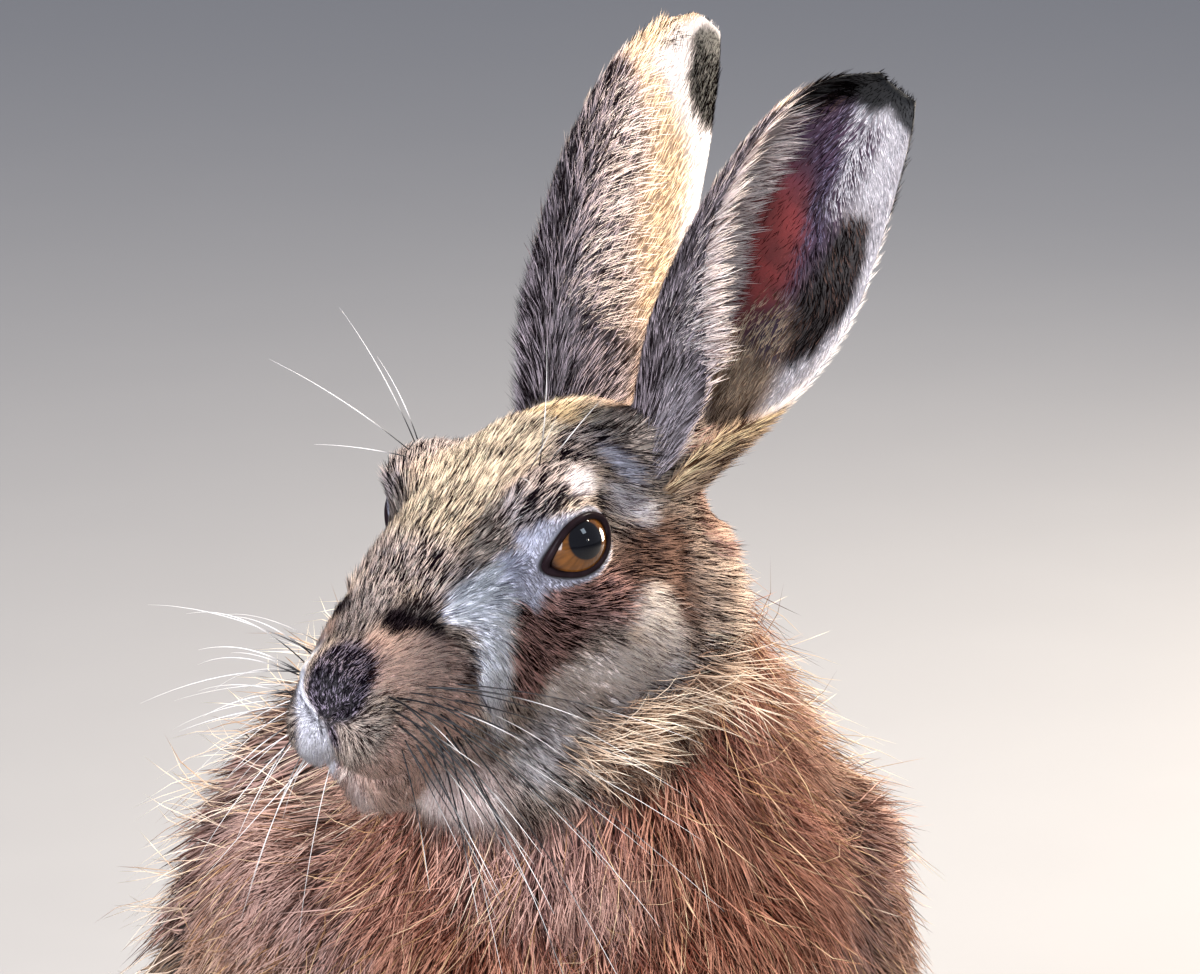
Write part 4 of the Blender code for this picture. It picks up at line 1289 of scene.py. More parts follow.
    def body_colours(self) -> None:
        """Colours behind the head."""
        body, field, parts = self.on_body, self.field, self.parts
        normals = self.surface.normals()
        back = Zone(((0, -30, 285), (0, 40, 250), (0, 105, 185), (0, 140, 90)), 92, 0.55)
        field.paint(back.mask(body), BACK)
        field.paint(parts["hindleg"], THIGH)
        belly = Zone(((0, -70, 55), (0, 70, 20)), 66, 0.45).mask(body)
        field.paint(belly * fade(-0.1, -0.7, normals[:, 2]), BELLY)
        field.paint(fade(0.35, 0.8, parts["foreleg"]) * fade(190, 120, body[:, 2]), LEG)
        inner = fade(0.2, 0.8, -normals[:, 0] * np.sign(body[:, 0]))
        legs = np.maximum(parts["foreleg"], parts["hindleg"]) * fade(120, 90, body[:, 2])
        field.paint(inner * legs * 0.8, BELLY)
        chest = Zone(((-60, -115, 180), (0, -150, 165), (0, -135, 105)), 78, 0.45).mask(body)
        field.paint(chest, CHEST)
        field.paint(fade(0.2, 0.7, parts["neck"]) * 0.6, CHEST)
        sides = Zone(((62, -100, 235), (66, -70, 215), (40, -40, 250)), 36, 0.7)
        field.paint(sides.mask(body), RUFOUS)
        nape = Zone(((0, -40, 280), (0, -10, 255)), 40, 0.7).mask(body)
        field.paint(nape, RUFOUS)
        throat = Zone(((-42, -140, 205), (-12, -140, 200)), 24, 0.8, False).mask(body)
        field.paint(throat * 0.3, CHIN)
        field.paint(np.maximum(parts["forepaw"], parts["hindfoot"]), FOOT)
        feet = np.maximum(parts["forepaw"], parts["hindfoot"])
        field.paint(feet * fade(-0.3, -0.8, normals[:, 2]), SOLE)
        tail = fade(0.3, 0.7, parts["tail"])
        field.paint(tail, TAIL_SIDE)
        field.paint(tail * fade(0.25, 0.6, normals[:, 2]) * fade(15, 9, np.abs(body[:, 0])),
                    TAIL_TOP)

    def head_colours(self) -> None:
        """Colours of the head, with painted shade in the folds behind the pads and round the eye
        openings.
        """
        places, field = self.seen_at(), self.field
        field.paint(self.head, GRIZZLE)
        for zone, pelage, strength in self.HEAD_COLOURS:
            field.paint(zone.mask(places) * strength * self.head, pelage)
        for side in (1, -1):
            away, out, outward = EYE.measure(places, side)
            near = (places[:, 0] * side > 8) & (away < EYE.radius + 9)
            front = np.clip(-outward[:, 1], 0, 1)
            under = np.clip(-outward[:, 2], 0, 1)
            broad = 1.21 + 0.50 * np.maximum(front, 0.24 * under)
            ring = 1 - fade(broad - 0.10, broad + 0.12, out)
            field.paint(ring * near, EYE_RING)
            # Painted shade, near-black, round each eye opening, over the lids' dark bare skin.
            _, out, _ = EYE.measure(self.on_head, side)
            rim = 1 - fade(1.06, 1.14, out)
            field.paint(rim * near, CREASE_SHADE)

    def lengths(self) -> None:
        """How long the hairs are and how far they stand out."""
        field, parts, body = self.field, self.parts, self.on_body
        for name, length, lift in (
            ("torso", 25, 24), ("neck", 22, 25), ("tail", 15, 26), ("foreleg", 12, 22),
            ("forepaw", 6, 18), ("hindleg", 18, 22), ("hindfoot", 7, 17), ("head", 5.5, 19),
        ):
            field.set_length(parts[name], length)
            field.set_lift(parts[name], lift)
        slim = parts["foreleg"] * fade(150, 100, body[:, 2])
        field.set_length(slim, 8)
        for zone, length in self.HEAD_LENGTHS:
            field.set_length(zone.mask(self.on_head) * self.head, length)
        for side in (1, -1):
            away, out, _ = EYE.measure(self.on_head, side)
            near = (self.on_head[:, 0] * side > 8) & (away < EYE.radius + 6)
            field.set_length((1 - fade(1.0, 1.7, out)) * near, 1.7)
        field.length = self.surface.relaxed(field.length, 6)
        behind = Zone(((28, 43, 10), (27, 47, 0), (26, 50, -8)), 9, 0.6).mask(self.on_head)
        field.set_lift(behind * np.maximum(self.head, 0.6), 36)

    def lie(self) -> None:
        """Which way the hairs lie."""
        normals = self.surface.normals()
        on_head = self.frame.directions(combed(self.on_head, self.HEAD_COMB, 5.0, True))
        on_body = combed(self.on_body, self.BODY_COMB, 14.0, True)
        lie = on_head * self.head[:, None] + on_body * (1 - self.head)[:, None]
        lie = as_tangents(lie, normals)
        for side in (1, -1):
            away, out, outward = EYE.measure(self.on_head, side)
            near = (self.on_head[:, 0] * side > 8) & (away < EYE.radius + 9) & (out < 3.2)
            clear = as_tangents(self.frame.directions(outward[near]), normals[near])
            old, far = lie[near], np.maximum(out[near], 1.02)
            meet = (old * clear).sum(axis=1, keepdims=True)
            share = (1.05 / far[:, None]) ** 2
            round_eye = old - share * (2 * meet * clear - old)
            round_eye = round_eye + clear * (0.35 * (1 - fade(1.0, 1.9, out[near])))[:, None]
            lie[near] = unit(round_eye)
        self.field.lie = as_tangents(self.surface.relaxed(lie, 3), normals)

    def thin_out(self) -> None:
        """Leaves the eyes, nostrils, mouth line and soles bare, and paints shade into the bare
        nostril, cleft and mouth lines.
        """
        field, places = self.field, self.on_head
        normals = self.surface.normals() @ self.frame.axes()
        for side in (1, -1):
            away, out, _ = EYE.measure(places, side)
            near = (places[:, 0] * side > 8) & (away < EYE.radius + 6)
            field.growth = np.where(near, field.growth * fade(1.06, 1.12, out), field.growth)
        for path, width in ((self.skin.nostril, 0.65), (self.skin.cleft, 0.6),
                            (self.skin.mouth, 0.9)):
            beside = line_distance(places, normals, path)
            bare = 1 - fade(0.6 * width, width, beside)
            field.growth = field.growth * (1 - bare)
            # Painted shade, near-black, in the bare slits.
            field.paint(bare * 0.9 * self.head, CREASE_SHADE)
        low = self.surface.points[:, 2] < 0.0045
        down = self.surface.normals()[:, 2] < -0.6
        field.growth = np.where(low & down, 0.25 * field.growth, field.growth)


# The ears


@dataclass
class Ear:
    """One ear: a thin rolled blade, its skin inside the solid by the coat's depth."""

    frame: HeadFrame
    left: bool
    stretch: float = 1.0
    turn: Point = (0.0, 0.0, 0.0)
    twist: float = 0.0
    lean: float = 0.0
    length: float = 101.0
    base: Point = (17.5, 45.0, 15.0)
    axis: Point = (0.157, 0.713, 0.684)
    opening: Point = (0.871, -0.422, 0.24)
    coat_depth: float = 0.8
    rings: int = 64
    steps: int = 26

    # Share of the length, shift to the rear edge, half width, depth of the cup, wrap of
    # the front and rear edges in degrees, and thickness.
    STATIONS = (
        (-0.16, 2.0, 8.5, 8.5, 174, 174, 4.0), (-0.05, 2.0, 11.5, 11.0, 173, 168, 3.8),
        (0.03, 1.0, 14.0, 12.5, 172, 155, 3.6), (0.10, 0.2, 16.8, 13.6, 168, 136, 3.4),
        (0.18, -0.6, 19.8, 14.4, 156, 116, 3.3), (0.28, -0.8, 22.0, 14.6, 134, 98, 3.1),
        (0.40, -1.4, 23.6, 14.2, 118, 90, 3.0), (0.52, -2.4, 23.8, 13.2, 112, 86, 2.8),
        (0.64, -3.8, 22.4, 11.4, 108, 82, 2.6), (0.75, -4.7, 20.0, 9.4, 104, 80, 2.4),
        (0.84, -4.7, 16.7, 7.2, 100, 78, 2.2), (0.91, -3.8, 13.0, 5.2, 98, 76, 2.0),
        (0.96, -2.4, 9.0, 3.4, 94, 74, 1.7), (0.985, -1.4, 5.6, 2.2, 90, 72, 1.4),
    )

    def stations(self) -> Array:
        """The stations set close and smoothed."""
        rows = np.array(self.STATIONS)
        at = np.linspace(rows[0, 0], rows[-1, 0], 320)
        dense = np.stack([np.interp(at, rows[:, 0], rows[:, k]) for k in range(7)], axis=1)
        kernel = np.hanning(23)[1:-1]
        kernel /= kernel.sum()
        padded = np.pad(dense, ((10, 10), (0, 0)), "edge")
        smooth = np.stack([np.convolve(padded[:, k], kernel, "valid") for k in range(7)], axis=1)
        smooth[:, 0] = at
        picks = np.linspace(0, 319, self.rings).astype(int)
        return smooth[picks]

    def to_row(self, places: Array) -> Array:
        """Places of the left ear, in the head's millimetres, on this ear in the row frame."""
        root = np.array(self.base)
        at = places.copy()
        if not self.left:
            at[:, 0] *= -1
            root = root * np.array([-1, 1, 1])
        turn = np.array(Euler([math.radians(t) for t in self.turn]).to_matrix())
        return self.frame.outward((at - root) @ turn.T + root)

    def build(self) -> tuple[Surface, dict[str, Array]]:
        """The ear's surface, and at each point the share of its length, the share of the
        way from front to rear edge, and whether it is the outer side."""
        axis = unit(np.array(self.axis))
        opening = np.array(self.opening)
        facing = unit(opening - axis * (opening @ axis))
        facing = np.array(Matrix.Rotation(math.radians(self.twist), 3, Vector(axis))) @ facing
        across = unit(np.cross(axis, facing))
        part = np.linspace(0, 1, self.steps + 1)
        ends = np.abs(2 * part - 1)
        points, marks = [], []
        for share, shift, half, depth, front, rear, thick in self.stations():
            centre = np.array(self.base) + axis * (self.length * self.stretch * share)
            back = self.lean * (max(share - 0.45, 0.0) / 0.5) ** 1.5
            centre = centre + across * (shift + back)
            angle = np.radians(-front + (front + rear) * part)
            wall = thick * (1 - 0.45 * ends**4)
            skin = min(self.coat_depth, 0.3 * thick)
            sheet = np.maximum(wall - 2 * skin, 0.5)
            for outer in (True, False):
                inset = np.full_like(part, skin) if outer else skin + sheet
                wide = np.maximum(half - inset, 0.22 * half)
                deep = np.maximum(depth - inset, 0.1 * depth)
                row = centre + across * (wide * np.sin(angle))[:, None]
                row = row - facing * (deep * np.cos(angle))[:, None]
                rim = np.stack([np.full_like(part, share), part,
                                np.full_like(part, float(outer))], axis=1)
                points.append(row if outer else row[::-1])
                marks.append(rim if outer else rim[::-1])
        ring = 2 * (self.steps + 1)
        flat = np.concatenate(points)
        triangles = []
        index = np.arange(ring)
        after = (index + 1) % ring
        for k in range(self.rings - 1):
            low, high = k * ring, (k + 1) * ring
            triangles.append(np.stack([low + index, low + after, high + after], axis=1))
            triangles.append(np.stack([low + index, high + after, high + index], axis=1))
        mirror = np.arange(self.steps)
        for k, turned in ((0, True), (self.rings - 1, False)):
            low = k * ring
            a, b = low + mirror, low + mirror + 1
            c, d = low + ring - 2 - mirror, low + ring - 1 - mirror
            caps = np.concatenate([np.stack([a, b, c], axis=1), np.stack([a, c, d], axis=1)])
            triangles.append(caps[:, ::-1] if turned else caps)
        faces = np.concatenate(triangles)
        placed_points = self.to_row(flat)
        if self.signed_volume(placed_points, faces) < 0:
            faces = faces[:, ::-1]
        marks_flat = np.concatenate(marks)
        named = {"along": marks_flat[:, 0], "across": marks_flat[:, 1],
                 "outer": marks_flat[:, 2]}
        return Surface(placed_points, faces), named

    @staticmethod
    def signed_volume(points: Array, faces: Array) -> float:
        """The volume inside the faces, below 0 where they face inwards."""
        corner = points[faces] - points.mean(axis=0)
        return float(np.einsum("ij,ij->i", corner[:, 0],
                               np.cross(corner[:, 1], corner[:, 2])).sum() / 6)

    # Where the markings meet, as pairs of a share of the length and a share of the way
    # from the front to the rear edge (or the other way round for the black top edge).
    FRINGE_END = ((0.0, 0.54), (0.31, 0.54), (0.40, 0.50), (0.454, 0.462), (0.56, 0.422),
                  (0.63, 0.412), (0.73, 0.385), (0.80, 0.31))
    PINK_END = ((0.30, 0.62), (0.38, 0.645), (0.43, 0.684), (0.51, 0.672), (0.60, 0.638),
                (0.68, 0.573), (0.74, 0.50))
    PALE_START = ((0.60, 0.745), (0.69, 0.68), (0.745, 0.63), (0.84, 0.54), (0.90, 0.475))
    DARK_START = ((0.28, 0.80), (0.33, 0.775), (0.39, 0.736), (0.48, 0.715), (0.62, 0.744),
                  (0.71, 0.77))
    DARK_END = ((0.28, 0.82), (0.34, 0.89), (0.48, 0.942), (0.58, 0.944), (0.68, 0.897),
                (0.72, 0.86))
    BLACK_START = ((0.0, 0.765), (0.29, 0.80), (0.37, 0.87), (0.47, 0.89), (0.70, 0.925),
                   (1.0, 0.905))
    GREY_END = ((0.23, 0.53), (0.30, 0.505), (0.42, 0.435), (0.575, 0.431), (0.64, 0.404),
                (0.73, 0.24), (0.76, 0.05))
    PATCH_START = ((0.72, 0.66), (0.75, 0.564), (0.81, 0.523), (0.93, 0.438))

    @staticmethod
    def past(values: Array, at: Array, line: Sequence[tuple[float, float]],
             soft: float) -> Array:
        """How far values lie beyond a line of pairs, from 0 to 1 over a soft edge."""
        limit = np.interp(at, *np.array(line).T)
        return fade(limit - soft, limit + soft, values)

    def field(self, surface: Surface, marks: dict[str, Array]) -> CoatField:
        """Colours, lie and length of the ear's coat."""
        along, across, outer = marks["along"], marks["across"], marks["outer"] > 0.5
        field = CoatField(surface, EAR_GREY)
        jitter = (smooth_noise(surface.points, 0.003, 21) - 0.5) * 0.035
        s, u = along + jitter, across + jitter
        out, inn = outer.astype(float), (~outer).astype(float)
        grey_end = self.past(u, s, self.GREY_END, 0.05)
        field.paint(out * grey_end * fade(0.10, 0.26, s), EAR_CREAM)
        # White towards the rear edge of the outer side: partly pale fur, partly painted sunlight.
        field.paint(out * self.past(u - 0.24, s, self.GREY_END, 0.08) * fade(0.25, 0.4, s),
                    EAR_WHITE)
        field.paint(out * fade(0.86, 0.92, u) * fade(0.02, 0.12, s), EAR_WHITE)
        if self.left:
            field.paint(out * fade(0.88, 0.93, u) * fade(0.64, 0.72, s), EAR_BLACK)
            field.paint(out * fade(0.88, 0.92, s), EAR_BLACK)
        patch = fade(0.705, 0.735, s) * self.past(u, s, self.PATCH_START, 0.025)
        field.paint(out * patch * (1 - fade(0.955, 0.975, s)), EAR_BLACK)
        if self.left:
            field.paint(out * fade(0.79, 0.84, s) * (1 - fade(0.16, 0.26, u)), EAR_BLACK)
        field.paint(out * (1 - fade(0.12, 0.22, s)) * fade(0.5, 0.7, u), GOLDEN)
        field.paint(out * (1 - fade(0.14, 0.24, s)) * fade(0.90, 0.96, u), GOLD)
        field.paint(0.25 * out * (1 - fade(0.05, 0.11, s)) * (1 - fade(0.11, 0.17, u)), BROW)

        field.paint(inn, EAR_FRINGE)
        pink = self.past(u, s, self.FRINGE_END, 0.02)
        field.paint(inn * pink * fade(0.26, 0.34, s), EAR_DOWN)
        field.paint(inn * self.past(u, s, self.PINK_END, 0.03) * fade(0.36, 0.44, s),
                    EAR_PURPLE)
        high = fade(0.70, 0.78, s) * self.past(u, s, self.FRINGE_END, 0.04)
        field.paint(inn * high, EAR_PURPLE)
        field.paint(inn * fade(0.77, 0.83, s) * (1 - fade(0.40, 0.50, u)), EAR_UMBER)
        field.paint(inn * self.past(u, s, self.PALE_START, 0.035) * fade(0.60, 0.68, s),
                    EAR_WHITE)
        dark = self.past(u, s, self.DARK_START, 0.02) * fade(0.27, 0.31, s)
        dark = dark * (1 - fade(0.65, 0.70, s - 0.3 * (u - 0.76)))
        field.paint(inn * dark, EAR_UMBER)
        base = (1 - fade(0.36, 0.46, s)) * fade(0.58, 0.62, u)
        field.paint(inn * base * (1 - self.past(u, s, self.DARK_START, 0.02)), EAR_CREAM)
        field.paint(inn * self.past(u, s, self.DARK_END, 0.012), EAR_WHITE)
        field.paint(inn * (1 - fade(0.09, 0.18, s)) * fade(0.62, 0.70, u), GOLDEN)
        # Two dark umber lines at the inner base: painted shade in the ear's folds.
        for middle, low, high_end in ((0.75, 0.06, 0.31), (0.635, 0.04, 0.30)):
            line = np.exp(-(((u - middle - 0.15 * (0.2 - s)) / 0.014) ** 2))
            field.paint(inn * line * fade(low, low + 0.05, s) * (1 - fade(high_end - 0.06,
                        high_end, s)) * 0.8, EAR_UMBER)
        field.paint(inn * (1 - fade(0.04, 0.12, s)) * (1 - fade(0.6, 0.7, u)), GRIZZLE)
        field.paint(inn * self.past(s, u, self.BLACK_START, 0.014), EAR_BLACK)
        self.comb(field, surface, s, u, outer)
        return field

    def comb(self, field: CoatField, surface: Surface, s: Array, u: Array,
             outer: Array) -> None:
        """Sets the lie, length and thickness of growth."""
        sign = 1.0 if self.left else -1.0
        axis = self.frame.directions(unit(np.array(self.axis)) * np.array([sign, 1, 1]))
        spots = surface.points
        middle = np.array([spots[(np.abs(s - 0.5) < 0.1) & (u > 0.9)].mean(axis=0),
                           spots[(np.abs(s - 0.5) < 0.1) & (u < 0.1)].mean(axis=0)])
        rearward = unit(middle[0] - middle[1])
        inner = ~outer
        front_fringe = inner * (1 - self.past(u, s, self.FRINGE_END, 0.04))
        front_fringe = front_fringe * fade(0.06, 0.16, s)
        rear_wall = inner * fade(0.60, 0.75, u) * fade(0.40, 0.5, s)
        lean = np.where(outer, 0.10, 0.0) + 1.0 * front_fringe - 0.9 * rear_wall
        up = np.where(outer, 1.0, 0.75)
        wanted = axis * up[:, None] + rearward * lean[:, None]
        field.lie = as_tangents(wanted, surface.normals())
        field.length[:] = 4.2
        field.set_length(front_fringe, 8.4)
        field.set_length(rear_wall, 3.6)
        rim = fade(0.90, 0.97, u)
        field.set_length(rim, 4.5)
        field.lift[:] = 13.0
        field.set_lift(rim, 22.0)
        field.set_lift(front_fringe * 1.0, 9.0)
        if not self.left:
            profile = outer * fade(0.05, 0.12, u) * (1 - fade(0.26, 0.34, u))
            field.set_length(profile, 6.5)
            field.set_lift(profile, 36.0)
        pink = inner * self.past(u, s, self.FRINGE_END, 0.03) * fade(0.28, 0.36, s)
        pink = pink * (1 - self.past(u, s, self.PINK_END, 0.04)) * (1 - fade(0.76, 0.86, s))
        field.growth = (1 - 0.72 * pink) * fade(-0.15, -0.12, s)
        field.set_length(pink, 3.0)
        field.set_length(1 - fade(-0.02, 0.16, s), 7.0)
        field.set_lift((1 - fade(0.10, 0.20, s)) * fade(0.75, 0.9, u), 34.0)
        field.set_length(fade(0.86, 0.93, s), 1.8)
        field.set_lift(fade(0.86, 0.93, s), 12.0)

    @staticmethod
    def skin_colours_with_painted_shade(field: CoatField, marks: dict[str, Array]) -> Array:
        """The skin under the ear's coat: pink and purple flesh inside where bare, elsewhere the
        coat's colours darkened as painted shade between the hairs.
        """
        tones = 1.7 * field.skin_colours_with_painted_shade()
        inn = 1 - marks["outer"]
        s, u = marks["along"], marks["across"]
        bare = inn * Ear.past(u, s, Ear.FRINGE_END, 0.03) * fade(0.26, 0.32, s)
        bare = bare * (1 - Ear.past(u, s, Ear.DARK_START, 0.02)) * (1 - fade(0.86, 0.92, s))
        pink, plum = np.array([0.16, 0.019, 0.017]), np.array([0.032, 0.012, 0.028])
        share = np.maximum(fade(0.58, 0.76, s), Ear.past(u, s, Ear.PINK_END, 0.05))
        flesh = pink + share[:, None] * (plum - pink)
        veins = smooth_noise(np.stack([s * 34, u * 12, 0 * s], axis=1), 1.0, 9)
        flesh = flesh * (0.6 + 0.8 * veins[:, None])
        return tones + bare[:, None] * (flesh - tones)


# Eyes, whiskers and claws


@dataclass
class Eyeball:
    """One eye with its iris, pupil and cornea in one glossy piece."""

    frame: HeadFrame
    side: int
    gaze: Point = (0.93, -0.20, 0.27)
    pupil: float = 26.5
    iris: float = 62.0
    bulge: float = 0.55
    rings: int = 72
    count: int = 96

    def build(self) -> bpy.types.Object:
        """The eyeball as a piece."""
        facing = unit(np.array(self.gaze) * np.array([self.side, 1, 1]))
        along = unit(np.cross(facing, np.array([0.0, 0.0, 1.0])))
        high = np.cross(along, facing)
        angle = np.linspace(0.0, math.pi, self.rings)
        turn = np.linspace(0, 2 * math.pi, self.count, endpoint=False)
        a, t = np.meshgrid(angle, turn, indexing="ij")
        reach = EYE.radius + self.bulge * np.exp(-((a / 0.62) ** 2))
        towards = (np.cos(a)[..., None] * facing
                   + (np.sin(a) * np.cos(t))[..., None] * along
                   + (np.sin(a) * np.sin(t))[..., None] * high)
        places = EYE.middle(self.side) + towards * reach[..., None]
        points = self.frame.outward(places.reshape(-1, 3))
        faces = []
        for ring in range(self.rings - 1):
            low = ring * self.count + np.arange(self.count)
            beside = ring * self.count + (np.arange(self.count) + 1) % self.count
            faces.append(np.stack([low, low + self.count, beside + self.count], axis=1))
            faces.append(np.stack([low, beside + self.count, beside], axis=1))
        triangles = np.concatenate(faces)
        if Ear.signed_volume(points, triangles) < 0:
            triangles = triangles[:, ::-1]
        mesh = mesh_from(f"eye_{'left' if self.side > 0 else 'right'}_ball", points, triangles)
        paint_points(mesh, self.tones(np.degrees(a).ravel(), t.ravel()))
        piece = placed(mesh.name, mesh, WetFinish("cornea_and_iris").material())
        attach(piece, "root")
        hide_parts("eye_left" if self.side > 0 else "eye_right")
        return piece

    def tones(self, angle: Array, turn: Array) -> Array:
        """Black pupil, amber iris with fine rays, and a dark edge: the eye's own dark rim, with
        painted shade that gives the iris depth.
        """
        black, amber = np.array([0.002, 0.002, 0.003]), np.array([0.105, 0.038, 0.007])
        umber, edge = np.array([0.06, 0.024, 0.007]), np.array([0.008, 0.004, 0.004])
        ray = np.stack([np.cos(turn) * 9, np.sin(turn) * 9, angle / 26], axis=1)
        rays = smooth_noise(ray, 0.55, 7)
        tone = amber * (0.55 + 0.75 * rays[:, None])
        inner = 1 - fade(self.pupil, self.pupil + 7, angle)
        tone = tone + inner[:, None] * 0.55 * (umber - tone)
        # The dark edge: the eye's own dark outer colour, with painted shade for the iris's depth.
        outer = fade(self.iris - 16, self.iris, angle)
        tone = tone + outer[:, None] * (edge - tone)
        hole = 1 - fade(self.pupil - 1.2, self.pupil + 1.0, angle)
        return tone + hole[:, None] * (black - tone)


def swept_tube(centres: Array, radii: Array, sides: int, up: Array,
               loop: bool = False) -> tuple[Array, Array]:
    """A tube through points, closed at its ends or joined to itself.

    Args:
        centres: the points, one a row.
        radii: the tube's radius at each point.
        sides: corners of its cross-section.
        up: a direction, or one a point, that fixes its turn.
        loop: says that the last point meets the first.

    Returns:
        Points and triangles.
    """
    if loop:
        run = np.roll(centres, -1, axis=0) - np.roll(centres, 1, axis=0)
    else:
        run = np.gradient(centres, axis=0)
    run = unit(run)
    over = unit(np.cross(run, np.broadcast_to(up, run.shape)))
    third = np.cross(run, over)
    angle = np.linspace(0, 2 * math.pi, sides, endpoint=False)
    ring = (over[:, None] * np.cos(angle)[None, :, None]
            + third[:, None] * np.sin(angle)[None, :, None])
    points = (centres[:, None] + ring * radii[:, None, None]).reshape(-1, 3)
    count = len(centres)
    faces = []
    index = np.arange(sides)
    after = (index + 1) % sides
    for k in range(count if loop else count - 1):
        low, high = k * sides, (k + 1) % count * sides
        faces.append(np.stack([low + index, high + after, low + after], axis=1))
        faces.append(np.stack([low + index, high + index, high + after], axis=1))
    if not loop:
        middle = np.arange(1, sides - 1)
        zero = np.zeros_like(middle)
        last = (count - 1) * sides
        faces.append(np.stack([zero, middle, middle + 1], axis=1))
        faces.append(np.stack([last + zero, last + middle + 1, last + middle], axis=1))
    return points, np.concatenate(faces)


@dataclass
class LidRims:
    """The dark bare edges of the lids, one closed ring round each eye."""

    frame: HeadFrame
    thick: float = 0.72
    count: int = 120

    def build(self) -> list[bpy.types.Object]:
        """Both rims as pieces."""
        finish = WetFinish("lid_rim", roughness=0.55, coat=0.12, coat_roughness=0.3).material()
        made = []
        for side in (1, -1):
            facing, along, high = EYE.axes(side)
            turn = np.linspace(0, 2 * math.pi, self.count, endpoint=False)
            long, tall = EYE.rim(turn)
            flat = along * long[:, None] + high * tall[:, None]
            reach = EYE.radius + 0.35
            lift = np.sqrt(np.maximum(reach**2 - (flat**2).sum(axis=1), 4.0))
            towards = unit(flat + facing * lift[:, None])
            corner = np.abs(np.cos(turn)) ** 8
            places = EYE.middle(side) + towards * (reach + 0.25 * corner)[:, None]
            broad = self.thick * (1 + 0.35 * np.maximum(np.sin(turn), 0) + 0.5 * corner)
            points, faces = swept_tube(places, broad, 10, towards, loop=True)
            points = self.frame.outward(points)
            if side < 0:
                faces = faces[:, ::-1]
            mesh = mesh_from(f"lid_rim_{'left' if side > 0 else 'right'}", points, faces)
            tone = np.tile(np.array([0.009, 0.005, 0.006]), (len(points), 1))
            shade = 0.6 + 1.2 * smooth_noise(points, 0.0015, 2)
            paint_points(mesh, tone * shade[:, None])
            piece = placed(mesh.name, mesh, finish)
            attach(piece, "root")
            made.append(piece)
        return made


@dataclass
class Whiskers:
    """The long stiff hairs of the lips and brows, one tapered strand each."""

    frame: HeadFrame
    low: Array
    high: Array
    per_side: int = 30
    radius: float = 0.21
    rings: int = 14

    def strand(self, root: Array, towards: Array, length: float, droop: float,
               curl: float) -> Array:
        """The middle line of one whisker, in the head's millimetres."""
        share = np.linspace(0, 1, self.rings)[:, None]
        down = np.array([0.0, 0.10, -1.0])
        side = unit(np.cross(towards, down))
        return (root + towards * length * share + down * droop * length * share**2.2
                + side * curl * length * share**2)

    def kept_inside(self, root: Array, towards: Array, length: float, droop: float,
                    curl: float) -> Array:
        """The strand, shortened until it stays near the solids' box, in the row frame."""
        for _ in range(12):
            line = self.frame.outward(self.strand(root, towards, length, droop, curl))
            if ((line > self.low) & (line < self.high)).all():
                break
            length *= 0.9
        return line

    def lines(self) -> list[tuple[Array, float, float]]:
        """Every whisker's middle line, its thickness and how pale its tip is."""
        dice = np.random.default_rng(SEED + 5)
        found = []
        for side in (1, -1):
            for k in range(self.per_side):
                row, column = k % 5, k // 5
                back = column / (self.per_side // 5 - 1)
                root = np.array([
                    side * (15.8 + 1.2 * min(row, 2) - 0.5 * max(row - 2, 0)),
                    -52 + 19 * back, -23.5 - 3.5 * row - 1.5 * back,
                ]) + dice.normal(0, 0.6, 3)
                fall = (4 + 16 * row if side > 0 else -24 + 17 * row) + dice.normal(0, 7)
                low = math.radians(fall)
                level = unit(np.array([side * 0.8, (0.1 if side > 0 else -0.25) + 0.45 * back
                                       + dice.normal(0, 0.08), 0.0]))
                towards = level * math.cos(low) - np.array([0, 0, math.sin(low)])
                length = (28 + 34 * back) * dice.uniform(0.75, 1.25)
                droop = dice.uniform(0.12, 0.38)
                line = self.kept_inside(root - towards * 2, towards, length, droop,
                                        dice.normal(0, 0.10))
                pale = dice.uniform(0.0, 0.28) if side > 0 else dice.uniform(0.6, 1.0)
                broad = self.radius * (1.3 if side > 0 else 1.0)
                found.append((line, broad * dice.uniform(0.6, 1.15), pale))
            for root, towards, length in (
                ((19, -6, 19), (0.70, -0.30, 0.62), 40), ((20, -3, 20), (0.35, -0.10, 0.95), 38),
                ((18, -8, 18), (0.80, -0.50, 0.25), 22), ((21, -1, 20), (0.55, 0.25, 0.75), 24),
            ):
                flip = np.array([side, 1, 1])
                line = self.kept_inside(np.array(root) * flip, unit(np.array(towards) * flip),
                                        length, 0.06, -0.12 * side)
                found.append((line, self.radius * 0.75, 0.9))
        return found

    def build(self) -> bpy.types.Object:
        """All whiskers as one piece."""
        points, faces, tones, start = [], [], [], 0
        for line, radius, pale in self.lines():
            share = np.linspace(0, 1, self.rings)
            radii = radius * MM * (1 - 0.9 * share**1.3)
            run = unit(line[-1] - line[0])
            up = np.array([0.0, 0.0, 1.0]) if abs(run[2]) < 0.9 else np.array([1.0, 0.0, 0.0])
            tube, triangles = swept_tube(line, radii, 5, up)
            dark, light = np.array([0.006, 0.005, 0.006]), np.array([0.80, 0.76, 0.72])
            turn = fade(0.05 + 0.55 * (1 - pale), 0.35 + 0.65 * (1 - pale), share)
            tone = dark + turn[:, None] * (light - dark)
            points.append(tube)
            faces.append(triangles + start)
            tones.append(np.repeat(tone, 5, axis=0))
            start += len(tube)
        mesh = mesh_from("whiskers", np.concatenate(points), np.concatenate(faces))
        paint_points(mesh, np.concatenate(tones))
        finish = HairFinish("whisker_horn", 300.0, 0.2, 0.4, 0.02, specular=0.3)
        piece = placed("whiskers", mesh, finish.material())
        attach(piece, "root")
        return piece


